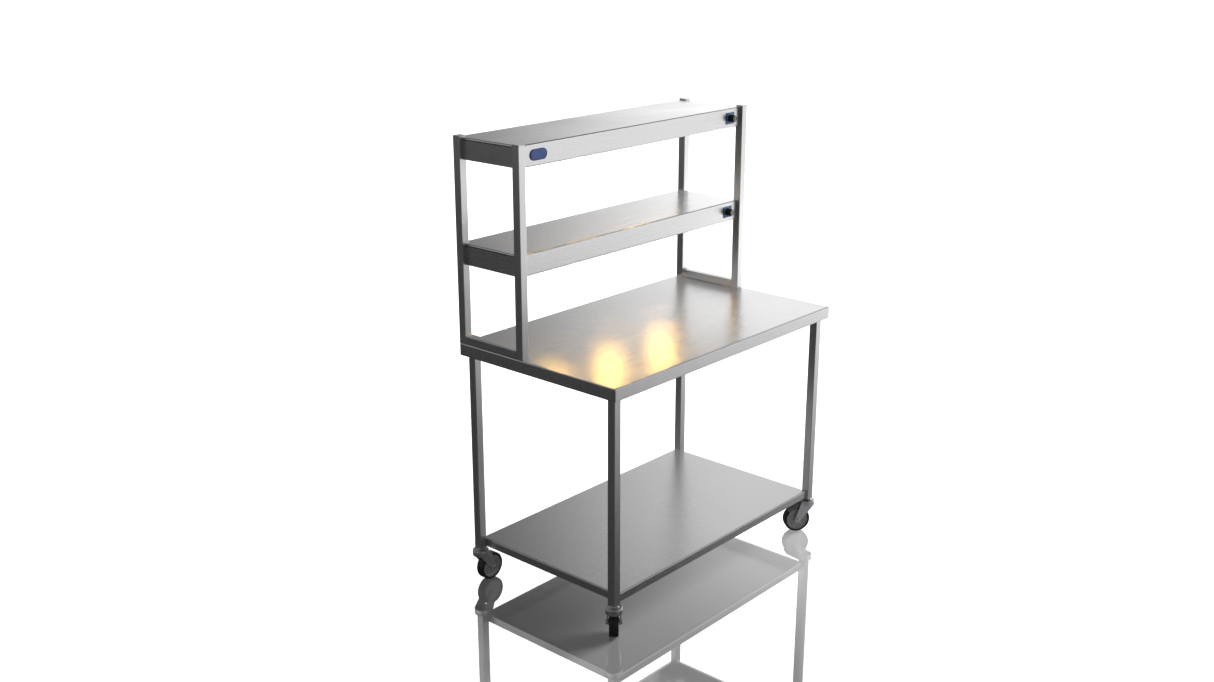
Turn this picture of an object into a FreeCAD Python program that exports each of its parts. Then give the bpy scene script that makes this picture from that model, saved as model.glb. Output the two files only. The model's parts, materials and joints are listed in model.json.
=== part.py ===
import FreeCAD, Part
import os
import re

import Sketcher

# Mobile stainless-steel work table with a two-tier heated gantry on the rear part of its worktop.
# Millimetres. +X runs along the table, +Y from the front to the rear, +Z up. The origin is on the
# floor under the middle of the worktop.

DIMENSIONS = {
    # table
    "table_length": 1200,
    "table_depth": 700,
    "worktop_height": 900,
    "worktop_apron": 44,
    "sheet_gauge": 1.5,
    "bend_radius": 2.5,
    "lip_width": 12,
    "leg_tube": 30,
    "tube_wall": 1.5,
    "tube_corner": 2.5,
    "leg_inset": 20,
    "leg_foot": 132,
    "shelf_height": 167,
    "shelf_apron": 31,
    "shelf_gauge": 1.2,
    "shelf_setback": 10,
    "channel_foot": 40,
    "channel_crown": 22,
    "channel_gauge": 1,
    "channel_short": 20,
    "channel_spread": 150,
    "channel_height": 25,
    # gantry
    "gantry_depth": 300,
    "gantry_tube": 30,
    "gantry_height": 700,
    "cap_thickness": 4,
    "plug_play": 0.2,
    "cap_plug_depth": 12,
    "bolt_spread": 75,
    "bolt_radius": 4,
    "bolt_hole": 4.2,
    "bolt_corner": 7.5,
    "bolt_head": 5,
    "nut_height": 6,
    "bolt_reach": 16,
    "tier_height": 72,
    "upper_tier_drop": 2,
    "tier_pitch": 352,
    "tier_setback": 14,
    "end_setback": 16,
    "end_flange": 7,
    "end_groove": 2,
    "end_overlap": 4,
    # heat lamps
    "lamp_pitch": 300,
    "lamp_line": 200,
    "lamp_opening": 50,
    "tray_gauge": 1,
    "tray_play": 1,
    "glass_lap": 7,
    "glass_thickness": 4,
    "reflector_rim": 60,
    "reflector_depth": 38,
    "reflector_wall": 1,
    "quartz_radius": 5,
    "quartz_length": 60,
    "quartz_pinch": 6,
    "holder_length": 12,
    "holder_width": 16,
    "holder_height": 24,
    # controls
    "control_place": 512,
    "dial_width": 50,
    "dial_height": 42,
    "dial_thickness": 1.5,
    "knob_radius": 13,
    "knob_length": 22,
    "knob_chamfer": 1.5,
    "knob_skirt": 2,
    "knob_wall": 4,
    "knob_recess": 5,
    "knob_clearance": 0.5,
    "spindle_radius": 3,
    "spindle_reach": 25,
    "bush_wall": 1.9,
    "bush_hole": 2,
    "bush_reach": 2.5,
    "regulator_length": 44,
    "regulator_depth": 36,
    "regulator_height": 34,
    "badge_place": 498,
    "badge_length": 76,
    "badge_width": 36,
    "badge_thickness": 3,
    "inlet_drop": 4,
    "inlet_flange_thickness": 3,
    "inlet_flange_width": 50,
    "inlet_flange_height": 30,
    "inlet_depth": 12,
    "inlet_width": 30,
    "inlet_height": 24,
    "inlet_wall": 2.5,
    "inlet_pin_length": 8,
    "inlet_pin_thickness": 2,
    "inlet_pin_width": 6,
    "inlet_pin_pitch": 7,
    # castors
    "wheel_radius": 50,
    "tyre_width": 32,
    "tyre_shoulder": 4,
    "rim_radius": 41,
    "rim_recess": 1,
    "rim_wall": 3.5,
    "web_recess": 4,
    "web_fillet": 5,
    "hub_radius": 11,
    "hub_root": 13,
    "hub_play": 0.6,
    "axle_radius": 5,
    "axle_head": 5,
    "axle_head_radius": 8,
    "castor_trail": 40,
    "crown_radius": 29,
    "crown_top": 131,
    "crown_skirt": 25,
    "crown_wall": 4,
    "fork_plate": 3,
    "fork_half_gap": 20,
    "fork_end": 20,
    "boss_radius": 11,
    "kingpin_radius": 6,
    "kingpin_play": 0.4,
    "kingpin_head": 4,
    "kingpin_head_radius": 11,
    "washer_radius": 14,
    "washer_thickness": 0.7,
    "stem_depth": 40,
    "pedal_place": 27,
    "pedal_drop": 14,
    "pedal_pin": 3,
    "pedal_play": 1.5,
    "running_gap": 0.05,
}

doc = FreeCAD.newDocument("heat_lamp_warmer")
sheet = doc.addObject("Spreadsheet::Sheet", "Dims")
for row, (alias, size) in enumerate(DIMENSIONS.items(), start=1):
    sheet.set("A%d" % row, alias)
    sheet.set("B%d" % row, str(size))
    sheet.setAlias("B%d" % row, alias)
doc.recompute()

NODES = []


# ---------------------------------------------------------------- helpers


def cells(formula):
    """Put the sheet's name before every alias in a formula."""
    return re.sub(r"[a-z]+(_[a-z]+)+", lambda word: "Dims." + word.group(0), formula)


def size_of(formula):
    """The formula's value now, in millimetres."""
    return float(sheet.evalExpression(cells(formula)))


def bind(thing, prop, formula):
    """Bind one property to a formula on the sheet's cells."""
    thing.setExpression(prop, cells(formula))


def node(thing, label):
    """Name a finished sub-part after its node."""
    thing.Label = label
    NODES.append(thing)
    return thing


def move_to(thing, x="0", y="0", z="0", turn=None):
    """Place an object, with its position bound to the sheet."""
    if turn is not None:
        thing.Placement = FreeCAD.Placement(FreeCAD.Vector(), turn)
    for axis, formula in zip("xyz", (x, y, z)):
        bind(thing, "Placement.Base." + axis, formula)
    return thing


def about(axis, angle):
    """A rotation of so many degrees about a named axis."""
    directions = {"X": (1, 0, 0), "Y": (0, 1, 0), "Z": (0, 0, 1)}
    return FreeCAD.Rotation(FreeCAD.Vector(*directions[axis]), angle)


ALONG_X = about("Y", 90)
ALONG_Y = about("X", -90)


def box(name, length, width, height, x="0", y="0", z="0"):
    """A box whose middle is at x, y and whose underside is at z."""
    block = doc.addObject("Part::Box", name)
    bind(block, "Length", length)
    bind(block, "Width", width)
    bind(block, "Height", height)
    return move_to(block, "%s - (%s) / 2" % (x, length), "%s - (%s) / 2" % (y, width), z)


def rod(name, radius, height, x="0", y="0", z="0", turn=None):
    """A cylinder that starts at x, y, z and runs along +Z, or along the turned +Z."""
    cylinder = doc.addObject("Part::Cylinder", name)
    bind(cylinder, "Radius", radius)
    bind(cylinder, "Height", height)
    return move_to(cylinder, x, y, z, turn)


def fuse(name, *pieces):
    """Join pieces that touch or overlap."""
    joined = doc.addObject("Part::MultiFuse", name)
    joined.Shapes = list(pieces)
    return joined


def cut(name, base, *tools):
    """Take one or more tools away from a base."""
    result = doc.addObject("Part::Cut", name)
    result.Base = base
    result.Tool = tools[0] if len(tools) == 1 else fuse(name + "_tools", *tools)
    return result


def group(label, pieces):
    """Identical pieces that share one node as separate solids."""
    compound = doc.addObject("Part::Compound", label)
    compound.Links = list(pieces)
    return node(compound, label)


def new_body(label):
    """An empty body that becomes one node."""
    return node(doc.addObject("PartDesign::Body", label), label)


def new_sketch(body, role, offset="0"):
    """A sketch on one of the body's origin planes, moved along the plane's normal."""
    plane = next(item for item in body.Origin.OriginFeatures if item.Role == role)
    sketch = body.newObject("Sketcher::SketchObject", body.Name + "_sketch")
    sketch.AttachmentSupport = [(plane, "")]
    sketch.MapMode = "FlatFace"
    bind(sketch, "AttachmentOffset.Base.z", offset)
    return sketch


def pin_down(sketch, geometry, point, across, up):
    """Constrain one point of a sketch to formulas measured from its origin."""
    for kind, formula in (("DistanceX", across), ("DistanceY", up)):
        constraint = Sketcher.Constraint(kind, -1, 1, geometry, point, size_of(formula))
        place = sketch.addConstraint(constraint)
        bind(sketch, "Constraints[%d]" % place, formula)


def add_polygon(sketch, corners):
    """A closed outline whose corners are pairs of formulas."""
    first = sketch.GeometryCount
    points = [FreeCAD.Vector(size_of(across), size_of(up), 0) for across, up in corners]
    for start, end in zip(points, points[1:] + points[:1]):
        sketch.addGeometry(Part.LineSegment(start, end), False)
    for side in range(len(points)):
        following = first + (side + 1) % len(points)
        sketch.addConstraint(Sketcher.Constraint("Coincident", first + side, 2, following, 1))
    for side, (across, up) in enumerate(corners):
        pin_down(sketch, first + side, 1, across, up)


def add_rectangle(sketch, length, width, across="0", up="0"):
    """A rectangle centred on a point."""
    low_x, high_x = ("%s %s (%s) / 2" % (across, sign, length) for sign in "-+")
    low_y, high_y = ("%s %s (%s) / 2" % (up, sign, width) for sign in "-+")
    add_polygon(sketch, [(low_x, low_y), (high_x, low_y), (high_x, high_y), (low_x, high_y)])


def add_circle(sketch, radius, across, up):
    """A circle about a point."""
    centre = FreeCAD.Vector(size_of(across), size_of(up), 0)
    circle = Part.Circle(centre, FreeCAD.Vector(0, 0, 1), size_of(radius))
    index = sketch.addGeometry(circle, False)
    pin_down(sketch, index, 3, across, up)
    place = sketch.addConstraint(Sketcher.Constraint("Radius", index, size_of(radius)))
    bind(sketch, "Constraints[%d]" % place, radius)


def pad(body, sketch, length, symmetric=False):
    """Pad a sketch along its normal, or evenly to both sides."""
    feature = body.newObject("PartDesign::Pad", body.Name + "_pad")
    feature.Profile = sketch
    feature.SideType = "Symmetric" if symmetric else "One side"
    bind(feature, "Length", length)
    return feature


def pocket(body, sketch, depth, upwards=False):
    """Cut a sketch into the body, and make sure that it removed something."""
    doc.recompute()
    before = body.Shape.Volume
    feature = body.newObject("PartDesign::Pocket", body.Name + "_pocket")
    feature.Profile = sketch
    feature.Reversed = upwards
    bind(feature, "Length", depth)
    doc.recompute()
    if body.Shape.Volume >= before:
        raise RuntimeError("nothing was cut from " + body.Label)
    return feature


def revolve(body, corners):
    """Revolve an outline of (along, radius) corners about the body's own Y axis."""
    sketch = new_sketch(body, "YZ_Plane")
    add_polygon(sketch, corners)
    feature = body.newObject("PartDesign::Revolution", body.Name + "_revolution")
    feature.Profile = sketch
    feature.ReferenceAxis = (sketch, ["H_Axis"])
    feature.Angle = 360
    return feature


def round_edges(body, radius, wanted):
    """Fillet the edges of the body's tip that a test picks."""
    doc.recompute()
    base = body.Tip
    names = ["Edge%d" % number for number, edge in enumerate(base.Shape.Edges, start=1) if wanted(edge)]
    if not names:
        raise RuntimeError("no edge to round on " + body.Label)
    feature = body.newObject("PartDesign::Fillet", body.Name + "_fillet")
    feature.Base = (base, names)
    bind(feature, "Radius", radius)
    return feature


def on_corner(edge, half_x, half_y):
    """Whether an edge stands upright on one of a rectangle's four corners."""
    spread = edge.BoundBox
    upright = spread.XLength < 0.01 and spread.YLength < 0.01
    middle = edge.CenterOfMass
    return upright and abs(abs(middle.x) - half_x) < 0.01 and abs(abs(middle.y) - half_y) < 0.01


# ---------------------------------------------------------------- tubes and folded pans


def square_tube(label, side, corner, length, x, y, z, lying=False):
    """A square tube that stands at x, y from z up, or lies along Y with its middle at y."""
    body = new_body(label)
    section = new_sketch(body, "XZ_Plane" if lying else "XY_Plane")
    add_rectangle(section, side, side)
    add_rectangle(section, "%s - 2 * tube_wall" % side, "%s - 2 * tube_wall" % side)
    pad(body, section, length, symmetric=lying)
    half = size_of(side) / 2
    long_axis = "y" if lying else "z"

    def outer_corner(edge):
        middle = edge.CenterOfMass
        across = [abs(getattr(middle, axis)) for axis in "xyz" if axis != long_axis]
        return all(abs(place - half) < 0.01 for place in across)

    round_edges(body, corner, outer_corner)
    return move_to(body, x, y, z)


def folded_pan(label, length, depth, top, apron, gauge):
    """A sheet with its four sides folded down and returned inwards as narrow lips."""
    body = new_body(label)
    face = new_sketch(body, "XY_Plane", "%s - %s" % (top, gauge))
    add_rectangle(face, length, depth)
    pad(body, face, gauge)
    skirt = new_sketch(body, "XY_Plane", "%s - %s" % (top, apron))
    add_rectangle(skirt, length, depth)
    add_rectangle(skirt, "%s - 2 * %s" % (length, gauge), "%s - 2 * %s" % (depth, gauge))
    pad(body, skirt, "%s - %s" % (apron, gauge))
    lips = new_sketch(body, "XY_Plane", "%s - %s" % (top, apron))
    add_rectangle(lips, "%s - %s" % (length, gauge), "%s - %s" % (depth, gauge))
    inner = "%s - 2 * (%s + lip_width)"
    add_rectangle(lips, inner % (length, gauge), inner % (depth, gauge))
    pad(body, lips, gauge)
    half_x, half_y, height = size_of(length) / 2, size_of(depth) / 2, size_of(top)

    def top_rim(edge):
        spread = edge.BoundBox
        outside = spread.XLength > 2 * half_x - 1 or spread.YLength > 2 * half_y - 1
        return outside and spread.ZMin > height - 0.01

    round_edges(body, "bend_radius", lambda edge: top_rim(edge) or on_corner(edge, half_x, half_y))
    return body


def hat_channel(label, length, height, top, y):
    """A folded hat channel that stiffens a sheet from below, along X."""
    body = doc.addObject("PartDesign::Body", label)
    section = new_sketch(body, "YZ_Plane")
    outer = [
        ("channel_foot", "0"),
        ("channel_foot", "-channel_gauge"),
        ("channel_crown", "-channel_gauge"),
        ("channel_crown", "-%s" % height),
    ]
    inner = [
        ("(channel_crown - channel_gauge)", "channel_gauge - %s" % height),
        ("(channel_crown - channel_gauge)", "0"),
    ]
    mirrored = [("-" + across, up) for across, up in outer[::-1]]
    add_polygon(section, outer + mirrored + [("-" + across, up) for across, up in inner[::-1]] + inner)
    pad(body, section, length, symmetric=True)
    return move_to(body, "0", y, top)


# ---------------------------------------------------------------- table

LEG_X = "(table_length / 2 - leg_inset - leg_tube / 2)"
LEG_Y = "(table_depth / 2 - leg_inset - leg_tube / 2)"
CORNERS = {
    "front_left": ("-1", "-1"),
    "front_right": ("1", "-1"),
    "rear_left": ("-1", "1"),
    "rear_right": ("1", "1"),
}
GANTRY_REAR = "(table_depth / 2)"
POST_X = "(table_length / 2 - gantry_tube / 2)"
POST_Y = {
    "front": "(%s - gantry_depth + gantry_tube / 2)" % GANTRY_REAR,
    "rear": "(%s - gantry_tube / 2)" % GANTRY_REAR,
}
RAIL_MIDDLE = "(%s - gantry_depth / 2)" % GANTRY_REAR


def bolt_places():
    """Where the four gantry bolts pass through the worktop."""
    return [
        (side + " * " + POST_X, "%s %s bolt_spread" % (RAIL_MIDDLE, sign))
        for side in ("-1", "1")
        for sign in "-+"
    ]


def make_worktop():
    """The worktop pan, with clearance holes for the gantry bolts."""
    body = folded_pan(
        "worktop", "table_length", "table_depth", "worktop_height", "worktop_apron", "sheet_gauge"
    )
    holes = new_sketch(body, "XY_Plane", "worktop_height")
    for x, y in bolt_places():
        add_circle(holes, "bolt_hole", x, y)
    pocket(body, holes, "2 * sheet_gauge")


def make_table():
    """Worktop, legs, lower shelf and the stiffening channels below the worktop."""
    make_worktop()
    for corner, (side_x, side_y) in CORNERS.items():
        square_tube(
            "leg_" + corner,
            "leg_tube",
            "tube_corner",
            "worktop_height - sheet_gauge - leg_foot",
            side_x + " * " + LEG_X,
            side_y + " * " + LEG_Y,
            "leg_foot",
        )
    shelf_length = "table_length - 2 * leg_inset - 2 * leg_tube"
    shelf_depth = "table_depth - 2 * leg_inset - 2 * shelf_setback"
    folded_pan(
        "lower_shelf",
        "(%s)" % shelf_length,
        "(%s)" % shelf_depth,
        "shelf_height",
        "shelf_apron",
        "shelf_gauge",
    )
    channel_length = "%s - channel_short" % shelf_length
    sheet_under = "worktop_height - sheet_gauge"
    channels = [
        hat_channel("worktop_channel", channel_length, "channel_height", sheet_under, y)
        for y in ("-channel_spread", "channel_spread")
    ]
    group("stiffening_channels", channels)


# ---------------------------------------------------------------- gantry frames


def make_gantry_frames():
    """Posts, base rails, post caps and the bolts that hold the rails down."""
    caps = []
    for side, sign in (("left", "-1"), ("right", "1")):
        x = sign + " * " + POST_X
        for place, y in POST_Y.items():
            square_tube(
                "post_%s_%s" % (place, side),
                "gantry_tube",
                "tube_corner",
                "gantry_height",
                x,
                y,
                "worktop_height",
            )
            caps.append(post_cap(x, y))
        make_base_rail(side, x)
    group("post_caps", caps)
    group("gantry_bolts", [gantry_bolt(x, y) for x, y in bolt_places()])


def post_cap(x, y):
    """A cap plate with a plug that fits inside the post."""
    plug = "gantry_tube - 2 * tube_wall - plug_play"
    top = "worktop_height + gantry_height"
    plate = box("cap_plate", "gantry_tube", "gantry_tube", "cap_thickness", x, y, top)
    return fuse(
        "post_cap", plate, box("cap_plug", plug, plug, "cap_plug_depth", x, y, top + " - cap_plug_depth")
    )


def make_base_rail(side, x):
    """A tube between the feet of two posts, with holes in its lower wall for the bolts."""
    length = "gantry_depth - 2 * gantry_tube"
    height = "worktop_height + gantry_tube / 2"
    name = "base_rail_" + side
    body = square_tube(name, "gantry_tube", "tube_corner", length, x, RAIL_MIDDLE, height, lying=True)
    holes = new_sketch(body, "XY_Plane", "-gantry_tube / 2")
    for sign in ("-1", "1"):
        add_circle(holes, "bolt_hole", "0", sign + " * bolt_spread")
    pocket(body, holes, "2 * tube_wall", upwards=True)


def gantry_bolt(x, y):
    """A hexagon bolt up through the worktop into a base rail, with its nut inside the rail."""
    under = "worktop_height - sheet_gauge"
    head = hexagon("bolt_head", "bolt_head", x, y, under + " - bolt_head")
    nut = hexagon("bolt_nut", "nut_height", x, y, "worktop_height + tube_wall")
    shank = rod("bolt_shank", "bolt_radius", "sheet_gauge + bolt_reach", x, y, under)
    return fuse("gantry_bolt", head, nut, shank)


def hexagon(name, height, x, y, z):
    """A six-sided bolt head or nut that starts at x, y, z."""
    prism = doc.addObject("Part::Prism", name)
    prism.Polygon = 6
    bind(prism, "Circumradius", "bolt_corner")
    bind(prism, "Height", height)
    return move_to(prism, x, y, z)


# ---------------------------------------------------------------- heated tiers

TIER_FRONT = "(%s - gantry_depth + tier_setback)" % GANTRY_REAR
TIER_DEPTH = "(gantry_depth - tier_setback)"
INNER_LENGTH = "(table_length - 2 * gantry_tube)"
WINDOW_DEPTH = "(gantry_depth - 2 * gantry_tube)"
TIERS = {
    "upper": "(worktop_height + gantry_height - upper_tier_drop)",
    "middle": "(worktop_height + gantry_height - upper_tier_drop - tier_pitch)",
}


def make_shell(tier, top):
    """Top sheet, front and rear fascia and bottom lips, folded from one sheet."""
    bottom = "(%s - tier_height)" % top
    front, rear = TIER_FRONT, GANTRY_REAR
    gauge = "sheet_gauge"
    lip = "(lip_width + sheet_gauge)"
    body = new_body(tier + "_shell")
    section = new_sketch(body, "YZ_Plane")
    add_polygon(section, [
        (front, top),
        (rear, top),
        (rear, bottom),
        ("%s - %s" % (rear, lip), bottom),
        ("%s - %s" % (rear, lip), "%s + %s" % (bottom, gauge)),
        ("%s - %s" % (rear, gauge), "%s + %s" % (bottom, gauge)),
        ("%s - %s" % (rear, gauge), "%s - %s" % (top, gauge)),
        ("%s + %s" % (front, gauge), "%s - %s" % (top, gauge)),
        ("%s + %s" % (front, gauge), "%s + %s" % (bottom, gauge)),
        ("%s + %s" % (front, lip), "%s + %s" % (bottom, gauge)),
        ("%s + %s" % (front, lip), bottom),
        (front, bottom),
    ])
    pad(body, section, INNER_LENGTH, symmetric=True)
    reach = "(table_length - 2 * end_setback)"
    wings = new_sketch(body, "XY_Plane", "%s - %s" % (top, gauge))
    add_rectangle(wings, reach, WINDOW_DEPTH, "0", RAIL_MIDDLE)
    pad(body, wings, gauge)
    flanges = new_sketch(body, "XY_Plane", "%s - end_flange" % top)
    for sign in "-+":
        across = "0 %s (%s / 2 - %s / 2)" % (sign, reach, gauge)
        add_rectangle(flanges, gauge, WINDOW_DEPTH, across, RAIL_MIDDLE)
    pad(body, flanges, "end_flange - %s" % gauge)
    edges_at = [(size_of(y), size_of(z)) for y in (front, rear) for z in (top, bottom)]

    def long_bend(edge):
        spread, middle = edge.BoundBox, edge.CenterOfMass
        placed = any(abs(middle.y - y) < 0.01 and abs(middle.z - z) < 0.01 for y, z in edges_at)
        return placed and spread.XLength > 100

    round_edges(body, "bend_radius", long_bend)
    hole = new_sketch(body, "XZ_Plane", "-1 * %s" % TIER_FRONT)
    add_circle(hole, "spindle_radius + bush_hole", "control_place", "%s + tier_height / 2" % bottom)
    pocket(body, hole, "2 * sheet_gauge")


def make_end_plate(tier, side, sign, top):
    """A joggled plate that closes one end of a tier between its two posts."""
    bottom = "(%s - tier_height)" % top
    seat = "(table_length / 2 - end_setback - sheet_gauge / 2)"
    plate_height = "(tier_height - end_flange - end_groove)"
    plate = box(
        "end_face",
        "sheet_gauge",
        WINDOW_DEPTH,
        plate_height,
        sign + " * " + seat,
        RAIL_MIDDLE,
        bottom,
    )
    lip_bottom = "%s + %s - end_overlap" % (bottom, plate_height)
    lip = box(
        "end_lip",
        "sheet_gauge",
        WINDOW_DEPTH,
        "end_flange + end_groove + end_overlap - sheet_gauge",
        "%s * (%s - sheet_gauge)" % (sign, seat),
        RAIL_MIDDLE,
        lip_bottom,
    )
    return node(fuse("end_plate", plate, lip), "%s_end_%s" % (tier, side))


def make_lamp_tray(tier, top):
    """The sheet that closes a tier from below, with a round opening under each lamp."""
    body = new_body(tier + "_lamp_tray")
    floor = "%s - tier_height + sheet_gauge" % top
    face = new_sketch(body, "XY_Plane", floor)
    middle = "%s + %s / 2" % (TIER_FRONT, TIER_DEPTH)
    length = "%s - 2 * tray_play" % INNER_LENGTH
    add_rectangle(face, length, "%s - 2 * sheet_gauge - tray_play" % TIER_DEPTH, "0", middle)
    for place in ("-lamp_pitch", "0", "lamp_pitch"):
        add_circle(face, "lamp_opening", place, "lamp_line")
    pad(body, face, "tray_gauge")


def reflector(x, base):
    """A spun dish with a flat rim, open below."""
    outer = rod("dish_outer", "lamp_opening", "reflector_depth", x, "lamp_line", base)
    inner = rod(
        "dish_inner",
        "lamp_opening - reflector_wall",
        "reflector_depth - reflector_wall",
        x,
        "lamp_line",
        base,
    )
    rim = rod("dish_rim", "reflector_rim", "reflector_wall", x, "lamp_line", base)
    return cut("reflector", fuse("dish", outer, rim), inner)


def heat_lamp(x, height):
    """A quartz tube lamp with pinched ends, along X."""
    half = "quartz_length / 2"
    tube = rod(
        "quartz_tube",
        "quartz_radius",
        "quartz_length - 2 * quartz_pinch",
        "%s - %s + quartz_pinch" % (x, half),
        "lamp_line",
        height,
        ALONG_X,
    )
    seals = rod(
        "quartz_seals",
        "quartz_radius * 0.6",
        "quartz_length",
        "%s - %s" % (x, half),
        "lamp_line",
        height,
        ALONG_X,
    )
    return fuse("heat_lamp", tube, seals)


def make_lamps(tier, top):
    """Glasses, reflectors, quartz lamps and ceramic holders of one tier."""
    tray_top = "%s - tier_height + sheet_gauge + tray_gauge" % top
    glass_top = tray_top + " + glass_thickness"
    dish_roof = glass_top + " + reflector_depth - reflector_wall"
    holder_base = dish_roof + " - holder_height"
    lamp_height = holder_base + " + quartz_pinch"
    places = {"left": "-lamp_pitch", "centre": "0", "right": "lamp_pitch"}
    glasses = [
        rod("safety_glass", "lamp_opening + glass_lap", "glass_thickness", x, "lamp_line", tray_top)
        for x in places.values()
    ]
    group(tier + "_safety_glasses", glasses)
    group(tier + "_reflectors", [reflector(x, glass_top) for x in places.values()])
    group(tier + "_heat_lamps", [heat_lamp(x, lamp_height) for x in places.values()])
    holders = []
    for x in places.values():
        for sign in "-+":
            across = "%s %s (quartz_length / 2 + holder_length / 2)" % (x, sign)
            size = ("holder_length", "holder_width", "holder_height")
            holders.append(box("lamp_holder", *size, across, "lamp_line", holder_base))
    group(tier + "_lamp_holders", holders)


# ---------------------------------------------------------------- controls


def make_dial_plate(tier, height):
    """The coloured plate behind the knob."""
    y = "%s - dial_thickness / 2" % TIER_FRONT
    base = "%s - dial_height / 2" % height
    plate = box("dial", "dial_width", "dial_thickness", "dial_height", "control_place", y, base)
    front = "%s - dial_thickness" % TIER_FRONT
    radius = "spindle_radius + bush_hole"
    hole = rod("dial_hole", radius, "dial_thickness", "control_place", front, height, ALONG_Y)
    return node(cut("dial_plate", plate, hole), tier + "_dial_plate")


def make_regulator(tier, height):
    """The energy regulator behind the fascia, with its bush through fascia and dial plate."""
    back = "%s + sheet_gauge" % TIER_FRONT
    size = ("regulator_length", "regulator_depth", "regulator_height")
    base = height + " - regulator_height / 2"
    case = box("case", *size, "control_place", back + " + regulator_depth / 2", base)
    bush_front = "%s - dial_thickness - bush_reach" % TIER_FRONT
    bush_length = "dial_thickness + bush_reach + sheet_gauge"
    radius = "spindle_radius + bush_wall"
    bush = rod("bush", radius, bush_length, "control_place", bush_front, height, ALONG_Y)
    bore = rod(
        "bore",
        "spindle_radius + running_gap",
        bush_length + " + (spindle_reach + regulator_depth) / 2",
        "control_place",
        bush_front,
        height,
        ALONG_Y,
    )
    return node(cut("regulator", fuse("regulator_body", case, bush), bore), tier + "_regulator")


def make_knob(tier, height):
    """Knob with a recess that clears the bush, and the spindle that it turns."""
    knob_back = "(%s - dial_thickness - knob_clearance)" % TIER_FRONT
    body = new_body(tier + "_knob")
    revolve(body, [
        ("-knob_length", "0"),
        ("-knob_length", "knob_radius - knob_chamfer"),
        ("knob_chamfer - knob_length", "knob_radius"),
        ("-knob_skirt", "knob_radius"),
        ("0", "knob_radius + knob_skirt / 2"),
        ("0", "knob_radius - knob_recess"),
        ("-knob_wall", "knob_radius - knob_recess"),
        ("-knob_wall", "spindle_radius"),
        ("knob_wall - knob_length", "spindle_radius"),
        ("knob_wall - knob_length", "0"),
    ])
    move_to(body, "control_place", knob_back, height)
    tip = "%s + knob_wall - knob_length" % knob_back
    inside = "%s + sheet_gauge + spindle_reach" % TIER_FRONT
    spindle = rod(
        "spindle",
        "spindle_radius",
        "%s - (%s)" % (inside, tip),
        "control_place",
        tip,
        height,
        ALONG_Y,
    )
    node(spindle, tier + "_spindle")


def make_badge(height):
    """A blank pill-shaped badge plate."""
    straight = "(badge_length - badge_width)"
    front = "%s - badge_thickness" % TIER_FRONT
    middle = "%s - badge_thickness / 2" % TIER_FRONT
    plate = box(
        "badge_plate", straight, "badge_thickness", "badge_width", "-badge_place", middle,
        "%s - badge_width / 2" % height,
    )
    ends = [
        rod(
            "badge_end",
            "badge_width / 2",
            "badge_thickness",
            "-badge_place %s %s / 2" % (sign, straight),
            front,
            height,
            ALONG_Y,
        )
        for sign in "-+"
    ]
    node(fuse("badge", plate, *ends), "badge")


def make_supply(top):
    """Appliance inlet on the right end plate of the middle tier."""
    outer = "(table_length / 2 - end_setback)"
    height = "%s - tier_height / 2 - inlet_drop" % top

    def block(name, start, length, width, tall, y=RAIL_MIDDLE):
        """A box that starts at a depth from the end plate and is centred on the inlet."""
        x = "%s + %s + (%s) / 2" % (outer, start, length)
        return box(name, length, width, tall, x, y, "%s - (%s) / 2" % (height, tall))

    thick = "inlet_flange_thickness"
    flange = block("inlet_flange", "0", thick, "inlet_flange_width", "inlet_flange_height")
    shroud = block("inlet_shroud", thick, "inlet_depth - " + thick, "inlet_width", "inlet_height")
    inside = ["%s - 2 * inlet_wall" % size for size in ("inlet_width", "inlet_height")]
    socket = block("inlet_socket", thick, "inlet_depth", *inside)
    pin = (thick, "inlet_pin_length", "inlet_pin_thickness", "inlet_pin_width")
    pins = [
        block("inlet_pin", *pin, "%s + %d * inlet_pin_pitch" % (RAIL_MIDDLE, place))
        for place in (-1, 0, 1)
    ]
    case = cut("inlet", fuse("inlet_case", flange, shroud), socket)
    node(fuse("inlet_and_pins", case, *pins), "power_inlet")


def make_tiers():
    """Both heated tiers with their controls, and the upper tier's badge."""
    for tier, top in TIERS.items():
        height = "(%s - tier_height / 2)" % top
        make_shell(tier, top)
        for side, sign in (("left", "-1"), ("right", "1")):
            make_end_plate(tier, side, sign, top)
        make_lamp_tray(tier, top)
        make_lamps(tier, top)
        make_dial_plate(tier, height)
        make_regulator(tier, height)
        make_knob(tier, height)
    make_badge("(%s - tier_height / 2)" % TIERS["upper"])
    make_supply(TIERS["middle"])


# ---------------------------------------------------------------- castors

# How each castor's wheel trails at rest, in degrees about +Z from +X.
CASTOR_YAW = {"front_left": 41, "front_right": 141, "rear_left": 0, "rear_right": 200}
BRAKED = ("front_left", "front_right")
PEDAL_X = "pedal_place"
PEDAL_Z = "(crown_top - pedal_drop)"


def castor_stem(x, y):
    """An expander plug in the leg's end, a thrust washer and the kingpin with its head."""
    plug_side = "leg_tube - 2 * tube_wall - plug_play"
    plug = box("stem_plug", plug_side, plug_side, "stem_depth", x, y, "leg_foot")
    washer = rod("thrust_washer", "washer_radius", "washer_thickness", x, y, "leg_foot - washer_thickness")
    head_top = "crown_top - crown_wall - kingpin_play"
    kingpin = rod("kingpin", "kingpin_radius", "leg_foot - (%s)" % head_top, x, y, head_top)
    head = rod("kingpin_head", "kingpin_head_radius", "kingpin_head", x, y, head_top + " - kingpin_head")
    return fuse("castor_stem", plug, washer, kingpin, head)


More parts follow.
